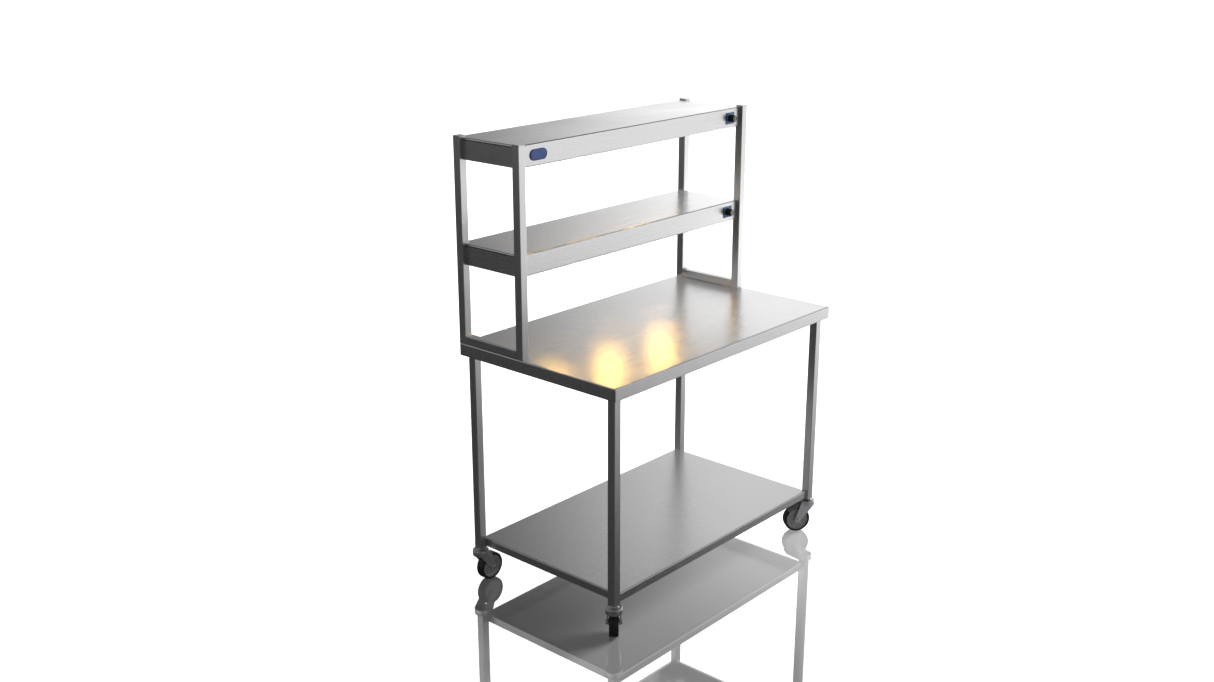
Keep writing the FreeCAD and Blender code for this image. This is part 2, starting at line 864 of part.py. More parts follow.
def make_fork(corner, x, y, turn):
    """A pressed fork: side profile and plan outline in common, hollowed for the wheel."""
    axle_z = "wheel_radius"
    side = doc.addObject("PartDesign::Body", "fork_side")
    outline = new_sketch(side, "XZ_Plane")
    add_polygon(outline, [
        ("-crown_radius", "crown_top"),
        ("crown_radius", "crown_top"),
        ("castor_trail + 10.9", axle_z + " + 2"),
        ("castor_trail - 6.9", axle_z + " - 8.6"),
        ("-crown_radius", "crown_top - crown_skirt"),
    ])
    pad(side, outline, "2 * crown_radius", symmetric=True)
    boss = new_sketch(side, "XZ_Plane")
    add_circle(boss, "boss_radius", "castor_trail", axle_z)
    pad(side, boss, "2 * crown_radius", symmetric=True)
    reach = "(castor_trail + fork_end)"
    roof = "crown_top - crown_wall"
    plan = fuse(
        "fork_plan",
        rod("crown_outer", "crown_radius", "crown_top", "0", "0", "0"),
        box("legs_outer", reach, "2 * (fork_half_gap + fork_plate)", "crown_top", reach + " / 2"),
    )
    hollow = fuse(
        "fork_hollow",
        rod("crown_inner", "crown_radius - fork_plate", roof),
        box("legs_inner", reach, "2 * fork_half_gap", roof, reach + " / 2"),
    )
    pressed = doc.addObject("Part::MultiCommon", "fork_pressing")
    pressed.Shapes = [side, plan]
    across = ("2 * crown_radius", "castor_trail", "-crown_radius", axle_z, ALONG_Y)
    holes = [
        hollow,
        rod("kingpin_hole", "kingpin_radius + running_gap", "2 * crown_wall", z=roof + " - crown_wall"),
        rod("axle_hole", "axle_radius", *across),
    ]
    if corner in BRAKED:
        across = ("2 * crown_radius", PEDAL_X, "-crown_radius", PEDAL_Z, ALONG_Y)
        holes.append(rod("pedal_hole", "pedal_pin + running_gap", *across))
    fork = cut("fork", pressed, *holes)
    node(move_to(fork, x, y, "0", turn), "fork_" + corner)


def make_wheel(corner, centre, turn):
    """Rubber tyre, plastic centre and the axle bolt, all about the body's own Y axis."""
    tyre = new_body("tyre_" + corner)
    revolve(tyre, [
        ("-tyre_width / 2", "rim_radius"),
        ("-tyre_width / 2", "wheel_radius - tyre_shoulder"),
        ("-tyre_width / 2 + tyre_shoulder", "wheel_radius"),
        ("tyre_width / 2 - tyre_shoulder", "wheel_radius"),
        ("tyre_width / 2", "wheel_radius - tyre_shoulder"),
        ("tyre_width / 2", "rim_radius"),
    ])
    middle = new_body("wheel_centre_" + corner)
    hub_end = "fork_half_gap - hub_play"
    rim_end = "tyre_width / 2 - rim_recess"
    web = "tyre_width / 2 - web_recess"
    profile = [
        (hub_end, "axle_radius + running_gap"),
        (hub_end, "hub_radius"),
        (web, "hub_root"),
        (web, "rim_radius - web_fillet"),
        (rim_end, "rim_radius - rim_wall"),
        (rim_end, "rim_radius"),
    ]
    mirrored = [("-(%s)" % along, radius) for along, radius in reversed(profile)]
    revolve(middle, profile + mirrored)
    axle = new_body("axle_" + corner)
    outside = "fork_half_gap + fork_plate"
    ends = [
        (outside + " + axle_head", "0"),
        (outside + " + axle_head", "axle_head_radius"),
        (outside, "axle_head_radius"),
        (outside, "axle_radius"),
    ]
    revolve(axle, ends + [("-(%s)" % along, radius) for along, radius in reversed(ends)])
    for piece in (tyre, middle, axle):
        move_to(piece, *centre, turn=turn)


def make_brake(corner, x, y, turn):
    """Foot pedal, pressed down, with its brake shoe just over the tyre and the pin it turns on."""
    pedal = doc.addObject("PartDesign::Body", "pedal_lever")
    outline = new_sketch(pedal, "XZ_Plane")
    add_polygon(outline, [
        (PEDAL_X + " - 6", PEDAL_Z + " + 6"),
        (PEDAL_X + " + 6", PEDAL_Z + " + 4"),
        (PEDAL_X + " + 52", PEDAL_Z + " - 23.5"),
        (PEDAL_X + " + 53", PEDAL_Z + " - 26.5"),
        (PEDAL_X + " + 23", PEDAL_Z + " - 12.5"),
        (PEDAL_X + " + 17", PEDAL_Z + " - 13"),
        (PEDAL_X + " + 15", PEDAL_Z + " - 16.4"),
        (PEDAL_X + " + 7", PEDAL_Z + " - 16.4"),
        (PEDAL_X + " + 3", PEDAL_Z + " - 8"),
        (PEDAL_X + " - 6", PEDAL_Z + " - 6"),
    ])
    pad(pedal, outline, "2 * (fork_half_gap - pedal_play)", symmetric=True)
    half = "(fork_half_gap + fork_plate)"
    pin = rod("pedal_pin_rod", "pedal_pin", "2 * " + half, PEDAL_X, "-" + half, PEDAL_Z, ALONG_Y)
    node(move_to(fuse("brake", pedal, pin), x, y, "0", turn), "brake_pedal_" + corner)


def make_castors():
    """Four swivel castors, the front two with a foot brake."""
    stems = []
    for corner, (side_x, side_y) in CORNERS.items():
        x, y = side_x + " * " + LEG_X, side_y + " * " + LEG_Y
        turn = about("Z", CASTOR_YAW[corner])
        trail = turn.multVec(FreeCAD.Vector(1, 0, 0))
        centre = (
            "%s + castor_trail * %.6f" % (x, trail.x),
            "%s + castor_trail * %.6f" % (y, trail.y),
            "wheel_radius",
        )
        stems.append(castor_stem(x, y))
        make_fork(corner, x, y, turn)
        make_wheel(corner, centre, turn)
        if corner in BRAKED:
            make_brake(corner, x, y, turn)
    group("castor_stems", stems)


# ---------------------------------------------------------------- build, check and write


def check_document():
    """Stop if a feature failed or a sub-part has no valid shape."""
    for thing in doc.Objects:
        if "Invalid" in thing.State or "Error" in thing.State:
            raise RuntimeError("%s failed: %s" % (thing.Label, thing.State))
    for thing in NODES:
        if thing.Shape.isNull() or not thing.Shape.isValid():
            raise RuntimeError(thing.Label + " has no valid shape")
        if not thing.Shape.Solids:
            raise RuntimeError(thing.Label + " has no solid")


def write_parts():
    """Write every sub-part to a STEP file named after its node."""
    os.makedirs("parts", exist_ok=True)
    for thing in NODES:
        thing.Shape.exportStep("parts/%s.step" % thing.Label)
        spread = thing.Shape.BoundBox
        solids = len(thing.Shape.Solids)
        print("%-28s %d solid(s) %8.1f x %8.1f x %8.1f mm" % (
            thing.Label, solids, spread.XLength, spread.YLength, spread.ZLength))
    print("%d nodes" % len(NODES))


make_table()
make_gantry_frames()
make_tiers()
make_castors()
doc.recompute()
check_document()
write_parts()
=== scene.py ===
import json
import logging
import math
from dataclasses import dataclass, field
from enum import Enum
from typing import Iterable, Sequence

import bmesh
import bpy
from mathutils import Euler, Matrix, Vector


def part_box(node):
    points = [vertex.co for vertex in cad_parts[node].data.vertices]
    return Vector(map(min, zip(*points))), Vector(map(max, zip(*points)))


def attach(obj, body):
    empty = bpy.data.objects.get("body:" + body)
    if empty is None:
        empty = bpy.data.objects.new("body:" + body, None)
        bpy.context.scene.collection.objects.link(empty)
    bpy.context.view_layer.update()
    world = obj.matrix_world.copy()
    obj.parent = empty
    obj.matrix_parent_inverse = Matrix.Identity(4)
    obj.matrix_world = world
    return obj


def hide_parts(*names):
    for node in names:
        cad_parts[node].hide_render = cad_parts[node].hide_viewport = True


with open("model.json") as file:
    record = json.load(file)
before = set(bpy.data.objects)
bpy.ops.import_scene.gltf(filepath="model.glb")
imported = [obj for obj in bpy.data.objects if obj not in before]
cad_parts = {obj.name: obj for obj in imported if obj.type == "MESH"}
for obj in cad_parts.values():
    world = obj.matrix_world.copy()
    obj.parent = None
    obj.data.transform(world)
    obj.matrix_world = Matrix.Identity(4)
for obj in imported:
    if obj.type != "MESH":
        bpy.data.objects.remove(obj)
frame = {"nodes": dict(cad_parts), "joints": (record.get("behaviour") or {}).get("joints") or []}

# A mobile stainless work table with two heated tiers over the rear of its worktop.
# Metres. +X runs along the table, +Y from the front to the rear, +Z up.

LOG = logging.getLogger("heated_pass")
MM = 0.001
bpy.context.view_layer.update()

Pair = tuple[float, float]


# ------------------------------------------------------------------ node wiring


@dataclass
class Wiring:
    """Short-hand for building one node tree."""

    tree: bpy.types.NodeTree

    def feed(self, socket: bpy.types.NodeSocket, value: object) -> None:
        """Link a socket to another one, or give it a plain value.

        Args:
            socket: The input to fill.
            value: An output socket, or a value for the input's own field.
        """
        if isinstance(value, bpy.types.NodeSocket):
            self.tree.links.new(value, socket)
        elif value is not None:
            socket.default_value = value

    def add(self, kind: str, inputs: dict | None = None, **settings: object) -> bpy.types.Node:
        """Add a node.

        Args:
            kind: The node's type name.
            inputs: Values or sockets by input name or index.
            **settings: Properties of the node itself.

        Returns:
            The new node.
        """
        node = self.tree.nodes.new(kind)
        for name, value in settings.items():
            setattr(node, name, value)
        for name, value in (inputs or {}).items():
            self.feed(node.inputs[name], value)
        return node

    def math(self, operation: str, first: object, second: object = None,
            clamp: bool = False) -> bpy.types.NodeSocket:
        """A Math node's output.

        Args:
            operation: The node's operation.
            first: The first socket or number.
            second: The second socket or number.
            clamp: Whether to hold the result between 0 and 1.

        Returns:
            The result's socket.
        """
        node = self.add("ShaderNodeMath", {0: first, 1: second}, operation=operation, use_clamp=clamp)
        return node.outputs[0]

    def blend(self, share: object, first: object, second: object) -> bpy.types.NodeSocket:
        """Mix two colours.

        Args:
            share: How much of the second, from 0 to 1.
            first: The first colour or socket.
            second: The second colour or socket.

        Returns:
            The mixed colour's socket.
        """
        node = self.add("ShaderNodeMix", data_type="RGBA")
        self.feed(node.inputs["Factor"], share)
        colours = [item for item in node.inputs if item.type == "RGBA"]
        self.feed(colours[0], first)
        self.feed(colours[1], second)
        return next(item for item in node.outputs if item.type == "RGBA")

    def ramp(self, value: object, low: float, high: float, to_low: float = 0.0,
            to_high: float = 1.0) -> bpy.types.NodeSocket:
        """A smooth step of a value.

        Args:
            value: The socket to remap.
            low: Where the step starts.
            high: Where the step ends.
            to_low: The result at its start.
            to_high: The result at its end.

        Returns:
            The remapped socket.
        """
        node = self.add("ShaderNodeMapRange", interpolation_type="SMOOTHSTEP")
        for name, number in zip(("Value", "From Min", "From Max", "To Min", "To Max"),
                (value, low, high, to_low, to_high)):
            self.feed(node.inputs[name], number)
        return node.outputs["Result"]


def rgba(colour: Sequence[float]) -> tuple[float, float, float, float]:
    """A colour with full alpha."""
    return (colour[0], colour[1], colour[2], 1.0)


def new_group(name: str, inputs: Iterable[tuple], outputs: Iterable[tuple]) -> tuple[Wiring, bpy.types.Node,
        bpy.types.Node]:
    """An empty shader node group with named sockets.

    Args:
        name: The group's name.
        inputs: (name, socket type, default) of each input.
        outputs: (name, socket type) of each output.

    Returns:
        The wiring, the group's input node and its output node.
    """
    tree = bpy.data.node_groups.new(name, "ShaderNodeTree")
    for label, kind, default in inputs:
        socket = tree.interface.new_socket(name=label, in_out="INPUT", socket_type=kind)
        if default is not None:
            socket.default_value = default
    for label, kind in outputs:
        tree.interface.new_socket(name=label, in_out="OUTPUT", socket_type=kind)
    wiring = Wiring(tree)
    return wiring, wiring.add("NodeGroupInput"), wiring.add("NodeGroupOutput")


FLOAT, VECTOR = "NodeSocketFloat", "NodeSocketVector"


def make_grain_group() -> bpy.types.NodeTree:
    """Fine parallel brush lines: streaks from 0 to 1 and a height."""
    wiring, given, result = new_group(
        "brush_lines",
        [("Vector", VECTOR, None), ("Stretch", VECTOR, (10.0, 900.0, 900.0)), ("Roughness", FLOAT, 0.6)],
        [("Streaks", FLOAT), ("Height", FLOAT)],
    )
    stretched = wiring.add("ShaderNodeVectorMath", {0: given.outputs["Vector"], 1: given.outputs["Stretch"]},
        operation="MULTIPLY")
    wide = wiring.add("ShaderNodeTexNoise", {"Vector": stretched.outputs[0], "Scale": 0.3, "Detail": 3.0})
    fine = wiring.add(
        "ShaderNodeTexNoise",
        {"Vector": stretched.outputs[0], "Scale": 1.0, "Detail": 2.0,
            "Roughness": given.outputs["Roughness"]},
    )
    both = wiring.math("ADD", wiring.math("MULTIPLY", wide.outputs["Fac"], 0.4),
        wiring.math("MULTIPLY", fine.outputs["Fac"], 0.6))
    wiring.feed(result.inputs["Streaks"], wiring.ramp(both, 0.35, 0.65))
    wiring.feed(result.inputs["Height"], fine.outputs["Fac"])
    return wiring.tree


def make_smudge_group() -> bpy.types.NodeTree:
    """Broad cloudy marks left by wiping and handling, as a mask from 0 to 1."""
    wiring, given, result = new_group(
        "wipe_marks", [("Vector", VECTOR, None), ("Scale", FLOAT, 3.0), ("Seed", FLOAT, 0.0)],
        [("Mask", FLOAT)]
    )
    cloud = wiring.add(
        "ShaderNodeTexNoise",
        {"Vector": given.outputs["Vector"], "W": given.outputs["Seed"], "Scale": given.outputs["Scale"],
            "Detail": 4.0, "Distortion": 0.6},
        noise_dimensions="4D",
    )
    wiring.feed(result.inputs["Mask"], wiring.ramp(cloud.outputs["Fac"], 0.42, 0.68))
    return wiring.tree


def make_wear_group() -> bpy.types.NodeTree:
    """Rubbed edges, broken up by noise, as a mask from 0 to 1."""
    wiring, given, result = new_group(
        "edge_rub", [("Vector", VECTOR, None), ("Radius", FLOAT, 0.001), ("Scale", FLOAT, 120.0)],
        [("Mask", FLOAT)]
    )
    soft = wiring.add("ShaderNodeBevel", {"Radius": given.outputs["Radius"]}, samples=4)
    hard = wiring.add("ShaderNodeNewGeometry")
    cosine = wiring.add("ShaderNodeVectorMath", {0: soft.outputs[0], 1: hard.outputs["Normal"]},
        operation="DOT_PRODUCT")
    edge = wiring.ramp(wiring.math("SUBTRACT", 1.0, cosine.outputs["Value"]), 0.01, 0.12)
    patches = wiring.add("ShaderNodeTexNoise",
        {"Vector": given.outputs["Vector"], "Scale": given.outputs["Scale"], "Detail": 3.0})
    broken = wiring.ramp(patches.outputs["Fac"], 0.35, 0.6)
    wiring.feed(result.inputs["Mask"], wiring.math("MULTIPLY", edge, broken))
    return wiring.tree


def make_dust_group() -> bpy.types.NodeTree:
    """Dust that settles on what faces up, as a mask from 0 to 1."""
    wiring, given, result = new_group(
        "settled_dust", [("Vector", VECTOR, None), ("Amount", FLOAT, 0.5), ("Scale", FLOAT, 90.0)],
        [("Mask", FLOAT)]
    )
    surface = wiring.add("ShaderNodeNewGeometry")
    parts = wiring.add("ShaderNodeSeparateXYZ", {0: surface.outputs["Normal"]})
    level = wiring.ramp(parts.outputs["Z"], 0.1, 0.95)
    specks = wiring.add("ShaderNodeTexNoise",
        {"Vector": given.outputs["Vector"], "Scale": given.outputs["Scale"], "Detail": 5.0})
    patchy = wiring.ramp(specks.outputs["Fac"], 0.4, 0.7)
    amount = wiring.math("MULTIPLY", wiring.math("MULTIPLY", level, patchy), given.outputs["Amount"],
        clamp=True)
    wiring.feed(result.inputs["Mask"], amount)
    return wiring.tree


def make_moulding_group() -> bpy.types.NodeTree:
    """The fine texture of moulded and cast surfaces: a tone from 0 to 1 and a height."""
    wiring, given, result = new_group(
        "moulded_texture", [("Vector", VECTOR, None), ("Scale", FLOAT, 900.0)],
        [("Tone", FLOAT), ("Height", FLOAT)]
    )
    pits = wiring.add("ShaderNodeTexNoise",
        {"Vector": given.outputs["Vector"], "Scale": given.outputs["Scale"], "Detail": 2.0})
    broad = wiring.math("MULTIPLY", given.outputs["Scale"], 0.06)
    flow = wiring.add("ShaderNodeTexNoise",
        {"Vector": given.outputs["Vector"], "Scale": broad, "Detail": 3.0})
    wiring.feed(result.inputs["Tone"], flow.outputs["Fac"])
    wiring.feed(result.inputs["Height"], pits.outputs["Fac"])
    return wiring.tree


GROUPS: dict[str, bpy.types.NodeTree] = {}


def build_groups() -> None:
    """Build each shared effect once."""
    for make in (make_grain_group, make_smudge_group, make_wear_group, make_dust_group, make_moulding_group):
        tree = make()
        GROUPS[tree.name] = tree


# ------------------------------------------------------------------ finishes


class Grain(Enum):
    """Which way the brush lines of a sheet or tube run."""

    ALONG_X = (12.0, 900.0, 900.0)
    ALONG_Y = (900.0, 12.0, 900.0)
    ALONG_Z = (900.0, 900.0, 12.0)


@dataclass(frozen=True)
class Finish:
    """What every finish has: a name, the record's slot and a way to make its material."""

    name: str
    slot: str

    def material(self) -> bpy.types.Material:
        """The finish's material, made on its first use."""
        made = bpy.data.materials.get(self.name)
        if made is None:
            made = bpy.data.materials.new(self.name)
            made.use_nodes = True
            made.node_tree.nodes.clear()
            wiring = Wiring(made.node_tree)
            output = wiring.add("ShaderNodeOutputMaterial")
            wiring.feed(output.inputs["Surface"], self.surface(wiring))
        return made

    def surface(self, wiring: Wiring) -> bpy.types.NodeSocket:
        """The finish's shader. Each finish has its own."""
        raise NotImplementedError

    @staticmethod
    def place(wiring: Wiring) -> bpy.types.NodeSocket:
        """Object coordinates, in metres."""
        return wiring.add("ShaderNodeTexCoord").outputs["Object"]

    @staticmethod
    def effect(wiring: Wiring, group: str, **inputs: object) -> bpy.types.Node:
        """One of the shared effects, with its own values.

        Args:
            wiring: The material's wiring.
            group: The effect's name.
            **inputs: Its inputs by name.

        Returns:
            The group node.
        """
        node = wiring.add("ShaderNodeGroup", node_tree=GROUPS[group])
        for name, value in inputs.items():
            wiring.feed(node.inputs[name], value)
        return node

    @staticmethod
    def bump(wiring: Wiring, height: object, strength: float, distance: float) -> bpy.types.NodeSocket:
        """A bumped normal from a height."""
        node = wiring.add("ShaderNodeBump", {"Strength": strength, "Distance": distance, "Height": height})
        return node.outputs["Normal"]


@dataclass(frozen=True)
class SatinSteel(Finish):
    """Brushed stainless sheet or tube."""

    colour: tuple[float, float, float] = (0.62, 0.622, 0.626)
    roughness: float = 0.28
    grain: Grain = Grain.ALONG_X
    relief: float = 0.008

    def surface(self, wiring: Wiring) -> bpy.types.NodeSocket:
        """Metal whose tone and gloss follow its brush lines and wipe marks."""
        place = self.place(wiring)
        lines = self.effect(wiring, "brush_lines", Vector=place, Stretch=self.grain.value)
        marks = self.effect(wiring, "wipe_marks", Vector=place, Scale=2.6, Seed=len(self.name) * 1.7)
        dark = rgba([part * 0.99 for part in self.colour])
        light = rgba([min(1.0, part * 1.01) for part in self.colour])
        tone = wiring.blend(lines.outputs["Streaks"], dark, light)
        gloss = wiring.ramp(lines.outputs["Streaks"], 0.0, 1.0, self.roughness - 0.012,
            self.roughness + 0.015)
        dulled = wiring.math("ADD", gloss, wiring.math("MULTIPLY", marks.outputs["Mask"], 0.02))
        shader = wiring.add(
            "ShaderNodeBsdfPrincipled",
            {
                "Base Color": tone,
                "Metallic": 1.0,
                "Roughness": dulled,
                "Normal": self.bump(wiring, lines.outputs["Height"], self.relief, 0.00004),
            },
        )
        return shader.outputs[0]


@dataclass(frozen=True)
class PlatedSteel(Finish):
    """Zinc-plated pressings and bright fasteners, rubbed at the edges and dusty on top."""

    colour: tuple[float, float, float] = (0.66, 0.67, 0.69)
    roughness: float = 0.26
    dust: float = 0.25

    def surface(self, wiring: Wiring) -> bpy.types.NodeSocket:
        """Plated metal with a faint crystal pattern."""
        place = self.place(wiring)
        crystals = wiring.add("ShaderNodeTexVoronoi", {"Vector": place, "Scale": 420.0})
        cast = self.effect(wiring, "moulded_texture", Vector=place, Scale=700.0)
        rubbed = self.effect(wiring, "edge_rub", Vector=place, Radius=0.0008)
        dusty = self.effect(wiring, "settled_dust", Vector=place, Amount=self.dust, Scale=160.0)
        base = wiring.blend(
            wiring.ramp(crystals.outputs["Distance"], 0.0, 0.8),
            rgba([part * 0.90 for part in self.colour]),
            rgba(self.colour),
        )
        bright = wiring.blend(rubbed.outputs["Mask"], base, (0.80, 0.80, 0.80, 1.0))
        colour = wiring.blend(dusty.outputs["Mask"], bright, (0.42, 0.40, 0.37, 1.0))
        gloss = wiring.ramp(cast.outputs["Tone"], 0.3, 0.7, self.roughness - 0.04, self.roughness + 0.06)
        dulled = wiring.math("ADD", gloss, wiring.math("MULTIPLY", dusty.outputs["Mask"], 0.4), clamp=True)
        metal = wiring.math("SUBTRACT", 1.0, wiring.math("MULTIPLY", dusty.outputs["Mask"], 0.8), clamp=True)
        shader = wiring.add(
            "ShaderNodeBsdfPrincipled",
            {
                "Base Color": colour,
                "Metallic": metal,
                "Roughness": dulled,
                "Normal": self.bump(wiring, cast.outputs["Height"], 0.12, 0.00005),
            },
        )
        return shader.outputs[0]


@dataclass(frozen=True)
class Moulded(Finish):
    """Moulded plastic, rubber or ceramic: not metal, with a fine surface texture."""

    colour: tuple[float, float, float] = (0.05, 0.05, 0.05)
    roughness: float = 0.5
    texture: float = 900.0
    relief: float = 0.2
    wear: tuple[float, float, float] = (0.2, 0.2, 0.2)
    wear_share: float = 0.35
    dust: float = 0.2

    def surface(self, wiring: Wiring) -> bpy.types.NodeSocket:
        """Body colour with flow marks, scuffed edges and settled dust."""
        place = self.place(wiring)
        cast = self.effect(wiring, "moulded_texture", Vector=place, Scale=self.texture)
        rubbed = self.effect(wiring, "edge_rub", Vector=place, Radius=0.0009)
        dusty = self.effect(wiring, "settled_dust", Vector=place, Amount=self.dust)
        body = wiring.blend(
            cast.outputs["Tone"],
            rgba([part * 0.86 for part in self.colour]),
            rgba([min(1.0, part * 1.14) for part in self.colour]),
        )
        scuffed = wiring.blend(wiring.math("MULTIPLY", rubbed.outputs["Mask"], self.wear_share), body,
            rgba(self.wear))
        colour = wiring.blend(dusty.outputs["Mask"], scuffed, (0.30, 0.28, 0.25, 1.0))
        gloss = wiring.ramp(cast.outputs["Tone"], 0.3, 0.7, self.roughness - 0.05, self.roughness + 0.06)
        dulled = wiring.math("ADD", gloss, wiring.math("MULTIPLY", dusty.outputs["Mask"], 0.3), clamp=True)
        shader = wiring.add(
            "ShaderNodeBsdfPrincipled",
            {
                "Base Color": colour,
                "Roughness": dulled,
                "Normal": self.bump(wiring, cast.outputs["Height"], self.relief, 0.00006),
            },
        )
        return shader.outputs[0]


@dataclass(frozen=True)
class PrintedPlate(Finish):
    """A lacquered, coloured plate or a domed badge."""

    colour: tuple[float, float, float] = (0.02, 0.11, 0.22)
    roughness: float = 0.24
    coat: float = 0.6

    def surface(self, wiring: Wiring) -> bpy.types.NodeSocket:
        """Colour under a clear coat, with fine print mottle and wipe marks."""
        place = self.place(wiring)
        cast = self.effect(wiring, "moulded_texture", Vector=place, Scale=1600.0)
        marks = self.effect(wiring, "wipe_marks", Vector=place, Scale=40.0, Seed=3.0)
        body = wiring.blend(
            cast.outputs["Tone"],
            rgba([part * 0.88 for part in self.colour]),
            rgba([min(1.0, part * 1.12) for part in self.colour]),
        )
        gloss = wiring.ramp(marks.outputs["Mask"], 0.0, 1.0, self.roughness, self.roughness + 0.12)
        shader = wiring.add(
            "ShaderNodeBsdfPrincipled",
            {
                "Base Color": body,
                "Roughness": gloss,
                "Coat Weight": self.coat,
                "Coat Roughness": 0.08,
                "Normal": self.bump(wiring, cast.outputs["Height"], 0.05, 0.00003),
            },
        )
        return shader.outputs[0]


@dataclass(frozen=True)
class LitReflector(Finish):
    """A polished dish with a painted glow: its emission stands in for its lamp's warm light on it, and throws
    that light downwards.
    """

    glow: tuple[float, float, float] = (1.0, 0.56, 0.10)
    strength: float = 48.0
    lamp_line: float = 0.2
    pitch: float = 0.3

    def surface(self, wiring: Wiring) -> bpy.types.NodeSocket:
        """Spun metal with a painted glow, brightest under the middle of its lamp."""
        place = self.place(wiring)
        parts = wiring.add("ShaderNodeSeparateXYZ", {0: place})
        across = wiring.math("SUBTRACT", parts.outputs["Y"], self.lamp_line)
        half = wiring.math("ADD", parts.outputs["X"], self.pitch * 10.5)
        along = wiring.math("SUBTRACT", wiring.math("MODULO", half, self.pitch), self.pitch / 2)
        flat = wiring.add("ShaderNodeCombineXYZ", {"X": along, "Y": across})
        radius = wiring.add("ShaderNodeVectorMath", {0: flat.outputs[0]}, operation="LENGTH").outputs["Value"]
        rings = wiring.add("ShaderNodeTexNoise", {"W": radius, "Scale": 900.0, "Detail": 2.0},
            noise_dimensions="1D")
        tone = wiring.blend(rings.outputs["Fac"], (0.80, 0.76, 0.68, 1.0), (0.93, 0.90, 0.84, 1.0))
        spun = wiring.ramp(rings.outputs["Fac"], 0.2, 0.8, 0.10, 0.20)
        # Painted glow: emission on the dish, strongest under the middle of each lamp, stands in for the
        # lamp's light falling on it.
        middle = wiring.ramp(radius, 0.006, 0.052, 1.0, 0.35)
        painted_glow = wiring.add("ShaderNodeVectorMath", {0: self.glow, "Scale": middle}, operation="SCALE")
        shader = wiring.add(
            "ShaderNodeBsdfPrincipled",
            {
                "Base Color": tone,
                "Metallic": 1.0,
                "Roughness": spun,
                "Emission Color": painted_glow.outputs[0],
                "Emission Strength": self.strength,
            },
        )
        return shader.outputs[0]


@dataclass(frozen=True)
class HotWire(Finish):
    """The glowing filament."""

    colour: tuple[float, float, float] = (1.0, 0.62, 0.22)
    strength: float = 60.0

    def surface(self, wiring: Wiring) -> bpy.types.NodeSocket:
        """Metal that glows, a little unevenly along its length."""
        place = self.place(wiring)
        noise = wiring.add("ShaderNodeTexNoise", {"Vector": place, "Scale": 60.0, "Detail": 2.0})
        colour = wiring.blend(noise.outputs["Fac"], rgba([part * 0.9 for part in self.colour]),
            rgba(self.colour))
        shader = wiring.add(
            "ShaderNodeBsdfPrincipled",
            {
                "Base Color": (0.3, 0.2, 0.1, 1.0),
                "Metallic": 1.0,
                "Roughness": wiring.ramp(noise.outputs["Fac"], 0.3, 0.7, 0.35, 0.5),
                "Emission Color": colour,
                "Emission Strength": self.strength,
            },
        )
        return shader.outputs[0]


@dataclass(frozen=True)
class ClearGlass(Finish):
    """Toughened glass or quartz."""

    tint: tuple[float, float, float] = (0.97, 0.98, 0.97)
    haze: float = 0.02

    def surface(self, wiring: Wiring) -> bpy.types.NodeSocket:
        """Clear glass with faint grease marks in its gloss."""
        place = self.place(wiring)
        marks = self.effect(wiring, "wipe_marks", Vector=place, Scale=30.0, Seed=7.0)
        tone = wiring.blend(marks.outputs["Mask"], rgba(self.tint), rgba([part * 0.95 for part in self.tint]))
        shader = wiring.add(
            "ShaderNodeBsdfPrincipled",
            {
                "Base Color": tone,
                "Roughness": wiring.ramp(marks.outputs["Mask"], 0.0, 1.0, self.haze, self.haze + 0.06),
                "Transmission Weight": 1.0,
                "IOR": 1.46,
            },
        )
        return shader.outputs[0]


SHEET = SatinSteel("satin_sheet", "brushed_steel")
SHEET_ENDS = SatinSteel("satin_end_sheet", "brushed_steel", grain=Grain.ALONG_Y)
TUBE_UP = SatinSteel("satin_tube_upright", "steel_tube", roughness=0.29, grain=Grain.ALONG_Z)
TUBE_LYING = SatinSteel("satin_tube_lying", "steel_tube", roughness=0.29, grain=Grain.ALONG_Y)
CAP_SHEET = SatinSteel("satin_cap", "post_cap", colour=(0.60, 0.60, 0.595), roughness=0.27)
INNER_SHEET = SatinSteel("mill_sheet", "inner_sheet", colour=(0.52, 0.52, 0.51), roughness=0.40, relief=0.05)
WELD = PlatedSteel("blended_weld", "steel_tube", colour=(0.58, 0.58, 0.57), roughness=0.34, dust=0.0)
ZINC = PlatedSteel("zinc_pressing", "castor_zinc", colour=(0.74, 0.75, 0.77), roughness=0.34, dust=0.12)
BRIGHT = PlatedSteel("bright_fastener", "zinc_steel", colour=(0.72, 0.72, 0.72), roughness=0.20, dust=0.1)
STEM_ZINC = PlatedSteel("zinc_stem", "castor_zinc", colour=(0.62, 0.63, 0.65), roughness=0.30)
TYRE = Moulded("black_tyre", "tyre_rubber", colour=(0.013, 0.013, 0.013), roughness=0.60, texture=500.0,
               wear=(0.10, 0.10, 0.10), wear_share=0.5, dust=0.10)
WHEEL = Moulded("grey_wheel_centre", "wheel_grey", colour=(0.38, 0.38, 0.385), roughness=0.42,
                wear=(0.5, 0.5, 0.5), dust=0.12)
PEDAL = Moulded("coated_pedal", "pedal_steel", colour=(0.15, 0.15, 0.152), roughness=0.38,
                wear=(0.45, 0.45, 0.45), wear_share=0.8, dust=0.25)
KNOB = Moulded("black_knob", "knob_black", colour=(0.012, 0.012, 0.012), roughness=0.30,
               wear=(0.10, 0.10, 0.10), dust=0.04)
KNOB_FACE = Moulded("grey_knob_face", "knob_black", colour=(0.10, 0.105, 0.11), roughness=0.34, dust=0.02)
MARKING = Moulded("white_marking", "dial_blue", colour=(0.72, 0.74, 0.76), roughness=0.45, texture=1600.0,
                  relief=0.05, wear=(0.5, 0.5, 0.5), dust=0.0)
DIAL = PrintedPlate("blue_dial_plate", "dial_blue", colour=(0.010, 0.080, 0.18), roughness=0.4, coat=0.2)
BADGE = PrintedPlate("blue_badge", "badge_blue", colour=(0.016, 0.062, 0.24), roughness=0.4, coat=0.1)
